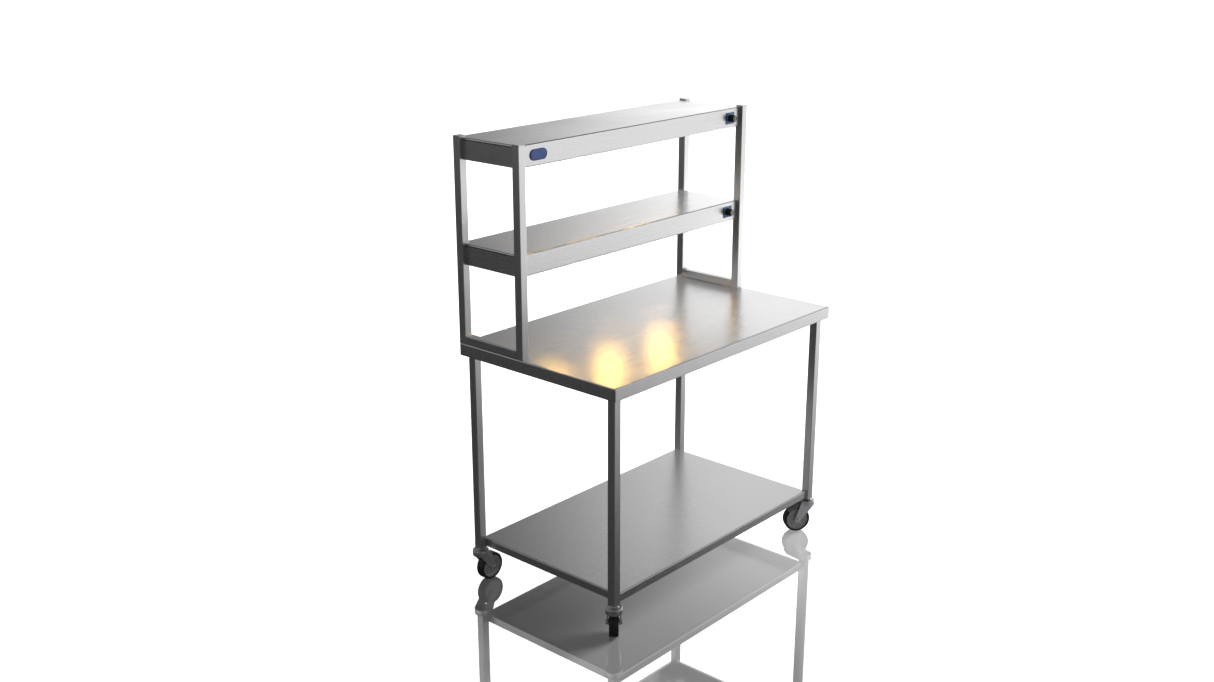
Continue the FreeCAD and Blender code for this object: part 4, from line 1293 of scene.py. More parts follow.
@dataclass
class HeatedTier:
    """One heated shelf: shell, end plates, lamps below and the control on its fascia."""

    name: str
    gauge: float = 1.5 * MM
    bend: float = 4.0 * MM
    lip: float = 13.5 * MM
    flange: float = 7.0 * MM
    groove: float = 2.0 * MM
    lamps: tuple[float, ...] = (-0.3, 0.0, 0.3)
    lamp_line: float = 0.2
    screws: int = 7

    def node(self, part: str) -> str:
        """The full name of one of this tier's nodes."""
        return self.name + "_" + part

    def build(self) -> None:
        """Build every piece of the tier."""
        self.shell()
        self.end_plates()
        self.tray()
        self.glasses()
        self.reflectors()
        self.lamp_tubes()
        self.holders()
        redress(self.node("regulator"), REGULATOR)
        redress(self.node("spindle"), BRIGHT)

    def shell(self) -> None:
        """Top, fascias and bottom lips folded from one sheet, with the ends of the top turned down."""
        low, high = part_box(self.node("shell"))
        post_low, post_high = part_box("post_front_left")
        inner = -post_high.x
        path = [
            (low.y + self.lip, low.z),
            (low.y, low.z),
            (low.y, high.z),
            (high.y, high.z),
            (high.y, low.z),
            (high.y - self.lip, low.z),
        ]
        outline = folded_outline(path, self.bend, -self.gauge)
        start = [Vector((-inner, y, z)) for y, z in outline]
        pieces = [run_of(start, Vector((2 * inner, 0, 0)), SHEET)]
        window_low, window_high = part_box("base_rail_left")
        for side in (-1, 1):
            path = [(0.0, 0.0), (high.x - inner, 0.0), (high.x - inner, -self.flange)]
            fold = folded_outline(path, self.bend, -self.gauge)
            outline = [Vector((side * (inner + along), window_low.y, high.z + up)) for along, up in fold]
            pieces.append(run_of(outline, Vector((0, window_high.y - window_low.y, 0)), SHEET))
        show(self.node("folded_shell"), pieces, SHEET, "table", self.node("shell"))

    def end_plates(self) -> None:
        """Joggled plates that close the ends under the turned-down edge, with a dark strip of painted shadow
        in each groove.
        """
        for side, sign in (("left", -1), ("right", 1)):
            node = self.node("end_" + side)
            low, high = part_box(node)
            outer = high.x if sign > 0 else -low.x
            top = high.z - (self.flange + self.groove - self.gauge)
            path = [(outer, low.z), (outer, top), (outer - self.gauge, top + self.gauge),
                (outer - self.gauge, high.z)]
            outline = []
            for x, z in path:
                outline.append(Vector((sign * x, low.y, z)))
            for x, z in reversed(path):
                outline.append(Vector((sign * (x - self.gauge), low.y, z)))
            plate = run_of(outline, Vector((0, high.y - low.y, 0)), SHEET_ENDS)
            edges = sorted((sign * (outer - self.gauge), sign * (outer - 0.5 * MM)))
            # Painted shadow: a dark strip fills the groove to stand for its shadow line.
            groove_shadow_strip = Form().block((edges[0], low.y, top + 0.2 * MM), (edges[1], high.y, top + self.groove))
            pieces = [plate, dressed(rounded(groove_shadow_strip.mesh("groove_shadow_strip")), GROOVE_SHADOW)]
            show(node + "_plate", pieces, SHEET_ENDS, "table", node)

    def tray(self) -> None:
        """The sheet under the lamps, with a round opening for each lamp, and its screws."""
        node = self.node("lamp_tray")
        low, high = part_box(node)
        bottom = low.z - self.gauge
        outer = rounded_rectangle((high.x - low.x) / 2, (high.y - low.y) / 2, 2 * MM, 3)
        middle = (low + high) / 2
        work = bmesh.new()
        loops = []
        for z in (low.z, high.z):
            edges = []
            outline = [work.verts.new((middle.x + x, middle.y + y, z)) for x, y in outer]
            edges += [work.edges.new((outline[i - 1], outline[i])) for i in range(len(outline))]
            holes = []
            for x in self.lamps:
                ring = [
                    work.verts.new((x + 0.05 * math.cos(turn), self.lamp_line + 0.05 * math.sin(turn), z))
                    for turn in [2 * math.pi * step / 64 for step in range(64)]
                ]
                edges += [work.edges.new((ring[i - 1], ring[i])) for i in range(len(ring))]
                holes.append(ring)
            bmesh.ops.triangle_fill(work, use_beauty=True, use_dissolve=False, edges=edges)
            loops.append([outline] + holes)
        for below, above in zip(*loops):
            for place in range(len(below)):
                work.faces.new((below[place - 1], below[place], above[place], above[place - 1]))
        bmesh.ops.recalc_face_normals(work, faces=work.faces)
        sheet = bpy.data.meshes.new("tray")
        work.to_mesh(sheet)
        work.free()
        pieces = [dressed(rounded(sheet), INNER_SHEET)]
        span = 1.04
        for y in (low.y + 7 * MM, high.y - 7 * MM):
            pieces.append(grown(
                "row_of_heads",
                BRIGHT,
                Count=self.screws,
                Start=(-span / 2, y, bottom),
                Step=(span / (self.screws - 1), 0.0, 0.0),
                Head_Size=(4 * MM, 4 * MM, 1.6 * MM),
            ))
        show(self.node("tray_sheet"), pieces, INNER_SHEET, "table", node)

    def glasses(self) -> None:
        """A ground-edged disc over each opening."""
        node = self.node("safety_glasses")
        low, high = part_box(node)
        radius, edge = (high.y - low.y) / 2, 0.6 * MM
        form = Form()
        for x in self.lamps:
            profile = [(0.0, low.z), (radius - edge, low.z), (radius, low.z + edge), (radius, high.z - edge),
                (radius - edge, high.z), (0.0, high.z)]
            form.lathe(profile, standing(x, self.lamp_line), 64, closed=False)
        show(self.node("glass_set"), [dressed(rounded(form.mesh("glass")), SAFETY_GLASS)], SAFETY_GLASS,
            "table", node)

    def reflectors(self) -> None:
        """Spun dishes with a rolled rim."""
        node = self.node("reflectors")
        low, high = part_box(node)
        rim, mouth, roof, wall = (high.y - low.y) / 2, 49 * MM, 30 * MM, 1 * MM
        depth = high.z - low.z
        shoulder = arc((roof, depth - 18 * MM), 18 * MM, 90, 10, 8)
        outer = [(0.001 * MM, depth)] + shoulder + [(mouth + wall, 3 * MM), (mouth + 2.5 * wall, wall),
            (rim, wall)]
        inner = [(rim, 0.0), (mouth + wall, 0.0)] + [(x - wall, z - wall)
            for x, z in reversed(shoulder)] + [(0.001 * MM, depth - wall)]
        form = Form()
        for x in self.lamps:
            form.lathe([(radius, low.z + height) for radius, height in outer + inner],
                standing(x, self.lamp_line), 64)
        show(self.node("reflector_set"), [dressed(rounded(form.mesh("dish")), REFLECTOR)], REFLECTOR, "table",
            node)

    def lamp_tubes(self) -> None:
        """Quartz tubes with pinched ends, and the coil inside each."""
        node = self.node("heat_lamps")
        low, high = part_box(node)
        middle = (low + high) / 2
        radius, half = (high.z - low.z) / 2, 30 * MM
        profile = [(0.0, -half), (0.55 * radius, -half), (0.6 * radius, -half + 5 * MM)]
        profile += arc((0.6 * radius, -half + 8 * MM), 0.4 * radius, -90, 0, 4)
        profile += [(radius, 0.0)]
        profile += [(x, -z) for x, z in reversed(profile[:-1])]
        form = Form()
        for x in self.lamps:
            place = Matrix.Translation((x, self.lamp_line, middle.z)) @ Matrix.Rotation(math.radians(90), 4,
                "Y")
            form.lathe(profile, place, 24, closed=False)
        tube = dressed(rounded(form.mesh("quartz")), QUARTZ)
        show(self.node("lamp_set"), [tube], QUARTZ, "table", node)
        coil = grown(
            "row_of_coils",
            FILAMENT,
            Count=len(self.lamps),
            Start=(self.lamps[0], self.lamp_line, middle.z),
            Pitch=self.lamps[1] - self.lamps[0],
            Turns=17.0,
            Coil_Radius=1.9 * MM,
            Length=40 * MM,
            Wire_Radius=0.45 * MM,
        )
        show(self.node("filament_set"), [coil], FILAMENT, "table")

    def holders(self) -> None:
        """Ceramic holders with a groove for the lamp's pinched end."""
        node = self.node("lamp_holders")
        low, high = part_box(node)
        lamp_low, lamp_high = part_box(self.node("heat_lamps"))
        form = Form()
        for x in self.lamps:
            for sign in (-1, 1):
                middle = x + sign * 36 * MM
                half_x, half_y = 6 * MM, 8 * MM
                slot_top = (lamp_low.z + lamp_high.z) / 2 + 3.2 * MM
                outline = [(-half_y, high.z), (-half_y, low.z), (-3.2 * MM, low.z), (-3.2 * MM, slot_top),
                           (3.2 * MM, slot_top), (3.2 * MM, low.z), (half_y, low.z), (half_y, high.z)]
                rings = [[Vector((middle + across, self.lamp_line + y, z)) for y, z in outline]
                    for across in (-half_x, half_x)]
                form.rings(rings)
        show(self.node("holder_set"), [dressed(rounded(form.mesh("holder"), 0.7 * MM), CERAMIC)], CERAMIC,
            "table", node)


# ------------------------------------------------------------------ controls and trim


@dataclass
class ControlDial:
    """A control knob and the printed plate behind it."""

    tier: str
    start: float = -130.0
    sweep: float = 270.0
    steps: int = 6
    ticks: int = 13

    def build(self) -> None:
        """Build the plate, its scale, and the knob."""
        low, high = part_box(self.tier + "_dial_plate")
        middle = (low + high) / 2
        self.plate(low, high, facing_front(middle.x, low.y, middle.z))
        self.knob(middle)

    def plate(self, low: Vector, high: Vector, place: Matrix) -> None:
        """The coloured plate with its printed scale."""
        node = self.tier + "_dial_plate"
        half_x, half_z = (high.x - low.x) / 2, (high.z - low.z) / 2
        outer = rounded_rectangle(half_x, half_z, 2 * MM, 5)
        base = Form().prism(outer, low.y - high.y, 0.0, place).mesh("dial")
        pieces = [dressed(rounded(base, 0.3 * MM), DIAL)]
        pieces += [moved(mesh, place) for mesh in [self.scale_marks()] + self.numbers()]
        show(self.tier + "_dial", pieces, DIAL, "table", node)

    def scale_marks(self) -> bpy.types.Mesh:
        """Printed ticks round the knob."""
        return grown(
            "ring_of_bars",
            MARKING,
            Count=self.ticks,
            First_Angle=math.radians(90 - self.start - self.sweep),
            Step_Angle=math.radians(self.sweep / (self.ticks - 1)),
            Radius=16.4 * MM,
            Bar_Size=(1.8 * MM, 0.6 * MM, 0.12 * MM),
        )

    def numbers(self) -> list[bpy.types.Mesh]:
        """Plain step numbers outside the ticks."""
        meshes = []
        for step in range(self.steps + 1):
            angle = math.radians(90 - self.start - self.sweep * step / self.steps)
            centre = Vector((19.0 * MM * math.cos(angle), 18.6 * MM * math.sin(angle), 0.0))
            curve = bpy.data.curves.new("number", "FONT")
            curve.body = str(step)
            curve.size = 4.2 * MM
            curve.align_x = "CENTER"
            curve.align_y = "CENTER"
            curve.extrude = 0.06 * MM
            curve.resolution_u = 3
            holder = bpy.data.objects.new("number", curve)
            bpy.context.scene.collection.objects.link(holder)
            mesh = evaluated(holder)
            bpy.data.objects.remove(holder)
            meshes.append(moved(dressed(mesh, MARKING), Matrix.Translation(centre)))
        return meshes

    def knob(self, middle: Vector) -> None:
        """A fluted knob with a skirt, a dished face and a pointer line."""
        node = self.tier + "_knob"
        low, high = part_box(node)
        place = facing_front(middle.x, high.y, middle.z)
        skirt, grip = (high.x - low.x) / 2, 12.2 * MM
        length, hole, recess = high.y - low.y, 3.0 * MM, 8.0 * MM
        face = length
        profile = [(recess, 0.0), (skirt, 0.0), (skirt, 1.2 * MM), (skirt - 1.0 * MM, 2.4 * MM),
            (grip, 3.4 * MM)]
        profile += [(grip - 0.3 * MM, face - 2.0 * MM)]
        profile += arc((grip - 1.9 * MM, face - 1.6 * MM), 1.6 * MM, 0, 90, 5)
        profile += [(grip - 3.2 * MM, face - 0.6 * MM), (hole, face - 0.8 * MM), (hole, 4 * MM),
            (recess, 4 * MM)]
        body = Form().lathe(profile, place, 64)
        pieces = [dressed(rounded(body.mesh("knob")), KNOB)]
        ribs = grown(
            "ring_of_bars",
            KNOB,
            Count=24,
            First_Angle=0.0,
            Step_Angle=math.radians(15),
            Radius=grip - 0.1 * MM,
            Bar_Size=(1.3 * MM, 1.5 * MM, length - 8 * MM),
        )
        pieces.append(rounded(moved(ribs, place @ Matrix.Translation((0, 0, length / 2 + 0.6 * MM))),
            0.35 * MM))
        disc = Form().lathe(
            [(0.0, face - 1.4 * MM), (grip - 3.4 * MM, face - 1.4 * MM), (grip - 3.4 * MM, face - 0.35 * MM),
                (0.0, face - 0.25 * MM)],
            place, 48, closed=False,
        )
        pieces.append(dressed(rounded(disc.mesh("face")), KNOB_FACE))
        line = Form().block((-0.7 * MM, 2.5 * MM, face - 0.7 * MM),
            (0.7 * MM, grip - 3.6 * MM, face - 0.1 * MM), place)
        pieces.append(dressed(rounded(line.mesh("pointer"), 0.1 * MM), MARKING))
        show(node + "_moulding", pieces, KNOB, self.tier + "_control", node)


@dataclass
class Badge:
    """A blank, domed, pill-shaped badge with a dark raised rim."""

    rim: float = 1.6 * MM

    def outline(self, length: float, width: float, steps: int = 20) -> list[Pair]:
        """A pill of that size about the origin."""
        half, radius = (length - width) / 2, width / 2
        return arc((half, 0), radius, -90, 90, steps) + arc((-half, 0), radius, 90, 270, steps)

    def build(self) -> None:
        """Build the rim and the domed face."""
        low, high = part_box("badge")
        length, width, depth = high.x - low.x, high.z - low.z, high.y - low.y
        place = facing_front((low.x + high.x) / 2, high.y, (low.z + high.z) / 2)
        inside = 2 * self.rim
        sections = [(0.0, 0.0), (0.0, depth - 0.5 * MM), (0.25, depth - 0.1 * MM), (0.6, depth),
            (1.0, depth - 0.5 * MM), (1.0, 0.4 * MM), (1.0, 0.0)]
        rings = []
        for share, height in sections:
            ring = self.outline(length - share * inside, width - share * inside)
            rings.append([place @ Vector((x, y, height)) for x, y in ring])
        rim = Form().rings(rings, closed=True).mesh("rim")
        levels = [(0.0, depth - 1.1 * MM), (2 * MM, depth - 0.8 * MM), (6 * MM, depth - 0.55 * MM),
            (12 * MM, depth - 0.45 * MM)]
        rings = [[place @ Vector((x, y, 0.2 * MM)) for x, y in self.outline(length - inside, width - inside)]]
        for inset, height in levels:
            ring = self.outline(length - inside - 2 * inset, width - inside - 2 * inset)
            rings.append([place @ Vector((x, y, height)) for x, y in ring])
        face = Form().rings(rings).mesh("face")
        pieces = [dressed(rounded(rim), BADGE_RIM), dressed(rounded(face), BADGE)]
        show("badge_plate", pieces, BADGE, "table", "badge")


@dataclass
class PowerInlet:
    """The appliance inlet on the end plate of the middle tier."""

    flange: float = 3.0 * MM
    depth: float = 12.0 * MM
    floor: float = 0.1 * MM
    screw_spread: float = 20.0 * MM
    blade_spread: float = 7.0 * MM

    def build(self) -> None:
        """Flange with two screws, a keyed shroud and three blades."""
        low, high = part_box("power_inlet")
        middle = (low + high) / 2
        turn = Matrix(((0, 0, 1, 0), (1, 0, 0, 0), (0, 1, 0, 0), (0, 0, 0, 1)))
        place = Matrix.Translation((low.x, middle.y, middle.z)) @ turn
        form = Form()
        form.prism(rounded_rectangle(25 * MM, 15 * MM, 5 * MM, 6), 0.0, self.flange, place)
        outside = self.keyed(15 * MM, 12 * MM, 5 * MM)
        inside = self.keyed(12.8 * MM, 9.8 * MM, 4 * MM)
        rings = [
            [place @ Vector((x, y, z)) for x, y in outline]
            for outline, z in ((outside, self.flange), (outside, self.depth), (inside, self.depth),
                    (inside, self.flange))
        ]
        form.rings(rings, caps=(False, True))
        form.prism(outside, self.flange, self.flange + self.floor, place)
        pieces = [dressed(rounded(form.mesh("inlet"), 0.3 * MM), INLET)]
        blades = Form()
        for across in (-self.blade_spread, 0.0, self.blade_spread):
            blades.block((across - 1 * MM, -3 * MM, self.flange),
                (across + 1 * MM, 3 * MM, self.depth - 1.5 * MM), place)
        pieces.append(dressed(rounded(blades.mesh("blades"), 0.3 * MM), BRIGHT))
        heads = grown(
            "row_of_heads", BRIGHT, Count=2, Start=(-self.screw_spread, 0.0, self.flange),
            Step=(2 * self.screw_spread, 0.0, 0.0),
            Head_Size=(2.8 * MM, 2.8 * MM, 1.2 * MM),
        )
        pieces.append(moved(heads, place))
        show("inlet_socket", pieces, INLET, "table", "power_inlet")

    @staticmethod
    def keyed(half_x: float, half_y: float, cut: float) -> list[Pair]:
        """A rectangle with its two upper corners cut off."""
        return [(-half_x, -half_y), (half_x, -half_y), (half_x, half_y - cut), (half_x - cut, half_y),
                (cut - half_x, half_y), (-half_x, half_y - cut)]


# ------------------------------------------------------------------ castors


@dataclass
class Castor:
    """One swivel castor: fork, wheel, axle and, at the front, the foot brake."""

    corner: str
    braked: bool
    crown: float = 29.0 * MM
    crown_top: float = 131.0 * MM
    skirt: float = 25.0 * MM
    plate: float = 3.0 * MM
    gap: float = 20.0 * MM
    boss: float = 11.0 * MM
    tyre_half: float = 16.0 * MM
    wheel: float = 50.0 * MM
    rim: float = 41.0 * MM
    skirt_inside: float = 16.5 * MM
    place: Matrix = field(init=False)
    hub: Matrix = field(init=False)
    trail: float = field(init=False)
    axle_height: float = field(init=False)

    def build(self) -> None:
        """Find where the castor points and build its pieces."""
        joints = {joint["name"]: joint for joint in frame["joints"]}
        leg = Vector(joints["swivel_" + self.corner]["pos_m"])
        hub = Vector(joints["roll_" + self.corner]["pos_m"])
        axle = Vector(joints["roll_" + self.corner]["axis"]).normalized()
        trail = axle.cross(Vector((0, 0, 1)))
        turn = Matrix((trail, axle, Vector((0, 0, 1)))).transposed().to_4x4()
        self.place = Matrix.Translation((leg.x, leg.y, 0)) @ turn
        self.hub = Matrix.Translation(hub) @ turn @ Matrix.Rotation(math.radians(-90), 4, "X")
        self.trail = (hub - Vector((leg.x, leg.y, hub.z))).length
        self.axle_height = hub.z
        self.fork()
        self.tyre()
        self.centre()
        self.axle()
        if self.braked:
            self.brake()

    def fork(self) -> None:
        """The crown with its swivel race, and the two pressed legs."""
        top, crown = self.crown_top, self.crown
        profile = [(6.1 * MM, top), (15 * MM, top), (16 * MM, top - 0.6 * MM), (17.5 * MM, top - 2.4 * MM)]
        profile += [(24 * MM, top - 2.8 * MM)]
        profile += arc((crown - 3.6 * MM, top - 6.4 * MM), 3.6 * MM, 80, 0, 6)
        profile += [(crown, top - 9 * MM), (crown - 1.1 * MM, top - 9.8 * MM),
            (crown - 1.1 * MM, top - 12.2 * MM), (crown, top - 13 * MM)]
        profile += [(crown, top - self.skirt + 1.2 * MM), (crown - 0.8 * MM, top - self.skirt),
            (crown - 2.6 * MM, top - self.skirt)]
        profile += [(crown - self.plate, top - self.skirt + 1 * MM), (crown - self.plate, top - 8 * MM),
            (22 * MM, top - 5 * MM), (6.1 * MM, top - 4 * MM)]
        form = Form().lathe(profile, self.place, 72)
        outline = self.leg_outline()
        for side in (-1, 1):
            near, far = side * self.gap, side * (self.gap + self.plate)
            rings = [[self.place @ Vector((x, y, z)) for x, z in outline] for y in (near, far)]
            form.rings(rings)
        pieces = [dressed(rounded(form.mesh("fork"), 0.7 * MM, 3), ZINC)]
        ribs = Form()
        for side in (-1, 1):
            start = Vector((16 * MM, 0, top - 28 * MM))
            end = Vector((self.trail - 5 * MM, 0, self.axle_height + 14 * MM))
            along = (end - start).normalized()
            across = Vector((-along.z, 0, along.x)) * 2.6 * MM
            face = side * (self.gap + self.plate)
            rings = []
            for share, lift in ((0.0, 0.0), (0.12, 0.9 * MM), (0.88, 0.9 * MM), (1.0, 0.0)):
                spot = start.lerp(end, share)
                width = 1.0 if lift else 0.5
                ring = [spot + across * width, spot + across * width * 0.5, spot - across * width * 0.5,
                    spot - across * width]
                heights = (-0.4 * MM, lift, lift, -0.4 * MM)
                rings.append([self.place @ Vector((point.x, face + side * height, point.z))
                    for point, height in zip(ring, heights)])
            ribs.rings(rings)
        pieces.append(dressed(rounded(ribs.mesh("ribs"), 0.5 * MM, 3, 25.0), ZINC))
        show("fork_pressing_" + self.corner, pieces, ZINC, "castor_" + self.corner, "fork_" + self.corner)

    def leg_outline(self) -> list[Pair]:
        """The side view of a fork leg, in the castor's own X and Z."""
        top, crown, axle = self.crown_top, self.crown, (self.trail, self.axle_height)
        outline = [(-19 * MM, top - 9 * MM), (crown - 4 * MM, top - 9 * MM)]
        outline += arc((crown - 5 * MM, top - 14 * MM), 5 * MM, 80, 18, 4)
        outline += arc(axle, self.boss, 14, -128, 18)
        outline += [(-18 * MM, top - self.skirt - 0.5 * MM), (-19 * MM, top - self.skirt + 2 * MM)]
        return outline

    def tyre(self) -> None:
        """The tyre, with round shoulders and two fine moulding rings on each side."""
        half, outer, inner = self.tyre_half, self.wheel, self.rim
        side = [(inner, half), (inner + 1.2 * MM, half), (inner + 1.5 * MM, half - 0.35 * MM),
                (inner + 2.1 * MM, half - 0.35 * MM),
                (inner + 2.4 * MM, half)]
        side += arc((outer - 4.5 * MM, half - 4.5 * MM), 4.5 * MM, 90, 8, 7)
        side += [(outer, half - 7 * MM)]
        profile = side + [(radius, -along) for radius, along in reversed(side)]
        mesh = Form().lathe(profile, self.hub, 96).mesh("tyre")
        show("tyre_ring_" + self.corner, [dressed(rounded(mesh, 0.0, angle=60.0), TYRE)], TYRE,
            "wheel_" + self.corner, "tyre_" + self.corner)

    def centre(self) -> None:
        """The wheel centre: hub, dished web with a raised ring, and a raised rim."""
        hub, rim, web = self.gap - 0.6 * MM, self.tyre_half - 1 * MM, self.tyre_half - 4 * MM
        side = [(5.05 * MM, hub), (9.6 * MM, hub), (10.6 * MM, hub - 1 * MM), (11.4 * MM, web + 2.4 * MM),
                (13.6 * MM, web + 0.3 * MM),
                (25.5 * MM, web), (26.3 * MM, web + 1.1 * MM), (27.7 * MM, web + 1.1 * MM), (28.5 * MM, web),
                (35.2 * MM, web + 0.5 * MM),
                (36.6 * MM, rim - 0.5 * MM), (37.4 * MM, rim), (40.2 * MM, rim), (self.rim, rim - 0.6 * MM)]
        profile = side + [(radius, -along) for radius, along in reversed(side)]
        mesh = Form().lathe(profile, self.hub, 96).mesh("centre")
        pieces = [dressed(rounded(mesh, 0.0, angle=40.0), WHEEL)]
        show("wheel_disc_" + self.corner, pieces, WHEEL, "wheel_" + self.corner,
            "wheel_centre_" + self.corner)

    def axle(self) -> None:
        """The axle bolt with its head, washers, nut and thread end."""
        outside = self.gap + self.plate
        corners = hexagon(8 * MM)
        form = Form()
        form.prism(corners, outside + 1 * MM, outside + 5 * MM, self.hub)
        form.prism(corners, -outside - 4.4 * MM, -outside - 1 * MM, self.hub)
        for side in (-1, 1):
            inner, outer = side * outside, side * (outside + 1 * MM)
            form.rod(8.0 * MM, inner, outer, self.hub, 32)
        form.rod(5 * MM, -outside, outside, self.hub, 32)
        end = -outside - 5 * MM
        thread = [(0.0, end), (3.9 * MM, end)]
        for turn in range(3):
            thread += [(4.6 * MM, end + (0.3 + 0.5 * turn) * MM), (4.1 * MM, end + (0.55 + 0.5 * turn) * MM)]
        thread += [(4.4 * MM, end + 2 * MM), (0.0, end + 2 * MM)]
        form.lathe(thread, self.hub, 24, closed=False)
        mesh = dressed(rounded(form.mesh("axle"), 0.4 * MM, 2, 40.0), BRIGHT)
        show("axle_bolt_" + self.corner, [mesh], BRIGHT, "castor_" + self.corner, "axle_" + self.corner)

    def brake(self) -> None:
        """The foot pedal: a pressed skin over two cheeks, grip ribs, the shoe and the pin."""
        joints = {joint["name"]: joint for joint in frame["joints"]}
        pivot = self.place.inverted() @ Vector(joints["brake_" + self.corner]["pos_m"])
        px, pz, skin = pivot.x, pivot.z, 2.4 * MM
        path = [(px - 6 * MM, pz + 2 * MM), (px - 5 * MM, pz + 5.6 * MM), (px + 6 * MM, pz + 4 * MM),
                (px + 50.5 * MM, pz - 22.3 * MM), (px + 53 * MM, pz - 26.4 * MM)]
        outline = folded_outline(path, 3.2 * MM, -skin, 5)
        widths = [self.half_width(x - px) for x, z in outline]
        form = Form()
        rings = [
            [self.place @ Vector((x, side * width, z)) for (x, z), width in zip(outline, widths)]
            for side in (-1, 1)
        ]
        form.rings(rings)
        cheek = [(px - 5.6 * MM, pz + 4.4 * MM), (px + 6 * MM, pz + 2.6 * MM), (px + 30 * MM, pz - 11.8 * MM),
                 (px + 23 * MM, pz - 12.5 * MM),
                 (px + 8 * MM, pz - 10 * MM), (px + 3 * MM, pz - 8 * MM), (px - 5.6 * MM, pz - 5.6 * MM)]
        for side in (-1, 1):
            rings = [[self.place @ Vector((x, side * y, z)) for x, z in cheek] for y in (13.6 * MM, 16 * MM)]
            form.rings(rings)
        skirt = [(px + 6 * MM, pz + 3 * MM), (px + 50 * MM, pz - 23 * MM), (px + 51 * MM, pz - 27 * MM)]
        skirt += arc((self.trail, self.axle_height), self.rim + 1 * MM, 42, 88, 10)
        for side in (-1, 1):
            edges = (side * self.skirt_inside, side * (self.skirt_inside + 1.8 * MM))
            form.rings([[self.place @ Vector((x, y, z)) for x, z in skirt] for y in edges])
        shoe = [(px + 3 * MM, pz - 7 * MM), (px + 17 * MM, pz - 9 * MM), (px + 17 * MM, pz - 13 * MM),
                (px + 15 * MM, pz - 16.4 * MM),
                (px + 7 * MM, pz - 16.4 * MM), (px + 3.4 * MM, pz - 10 * MM)]
        form.rings([[self.place @ Vector((x, y, z)) for x, z in shoe] for y in (-13.6 * MM, 13.6 * MM)])
        pieces = [dressed(rounded(form.mesh("pedal"), 0.5 * MM, 2), PEDAL)]
        ribs = Form()
        slope = Vector((44.5, 0, -26.3)).normalized()
        rise = Vector((-slope.z, 0, slope.x))
        for step in range(5):
            spot = Vector((px + 28 * MM, 0, pz - 9.0 * MM)) + slope * step * 5 * MM
            corners = [spot - slope * 0.8 * MM - rise * 0.3 * MM, spot + slope * 0.8 * MM - rise * 0.3 * MM,
                       spot + slope * 0.5 * MM + rise * 0.7 * MM, spot - slope * 0.5 * MM + rise * 0.7 * MM]
            reach = 15.5 * MM
            ribs.rings([[self.place @ Vector((point.x, side, point.z)) for point in corners]
                for side in (-reach, reach)])
        pieces.append(dressed(rounded(ribs.mesh("grip"), 0.2 * MM), PEDAL))
        pin = Form()
        lie = self.place @ Matrix.Translation((px, 0, pz)) @ Matrix.Rotation(math.radians(-90), 4, "X")
        end = self.gap + self.plate
        pin.lathe([(0.0, -end), (2.4 * MM, -end), (3 * MM, -end + 0.6 * MM), (3 * MM, end - 0.6 * MM),
            (2.4 * MM, end), (0.0, end)], lie, 24, closed=False)
        pieces.append(dressed(rounded(pin.mesh("pin")), BRIGHT))
        show("pedal_" + self.corner, pieces, PEDAL, "brake_" + self.corner, "brake_pedal_" + self.corner)

    @staticmethod
    def half_width(along: float) -> float:
        """Half the pedal's width at a distance from its pivot: wider at the toe."""
        share = max(0.0, min(1.0, (along - 6 * MM) / (22 * MM)))
        return (16.0 + 2.4 * share * share * (3 - 2 * share)) * MM


# ------------------------------------------------------------------ the stage


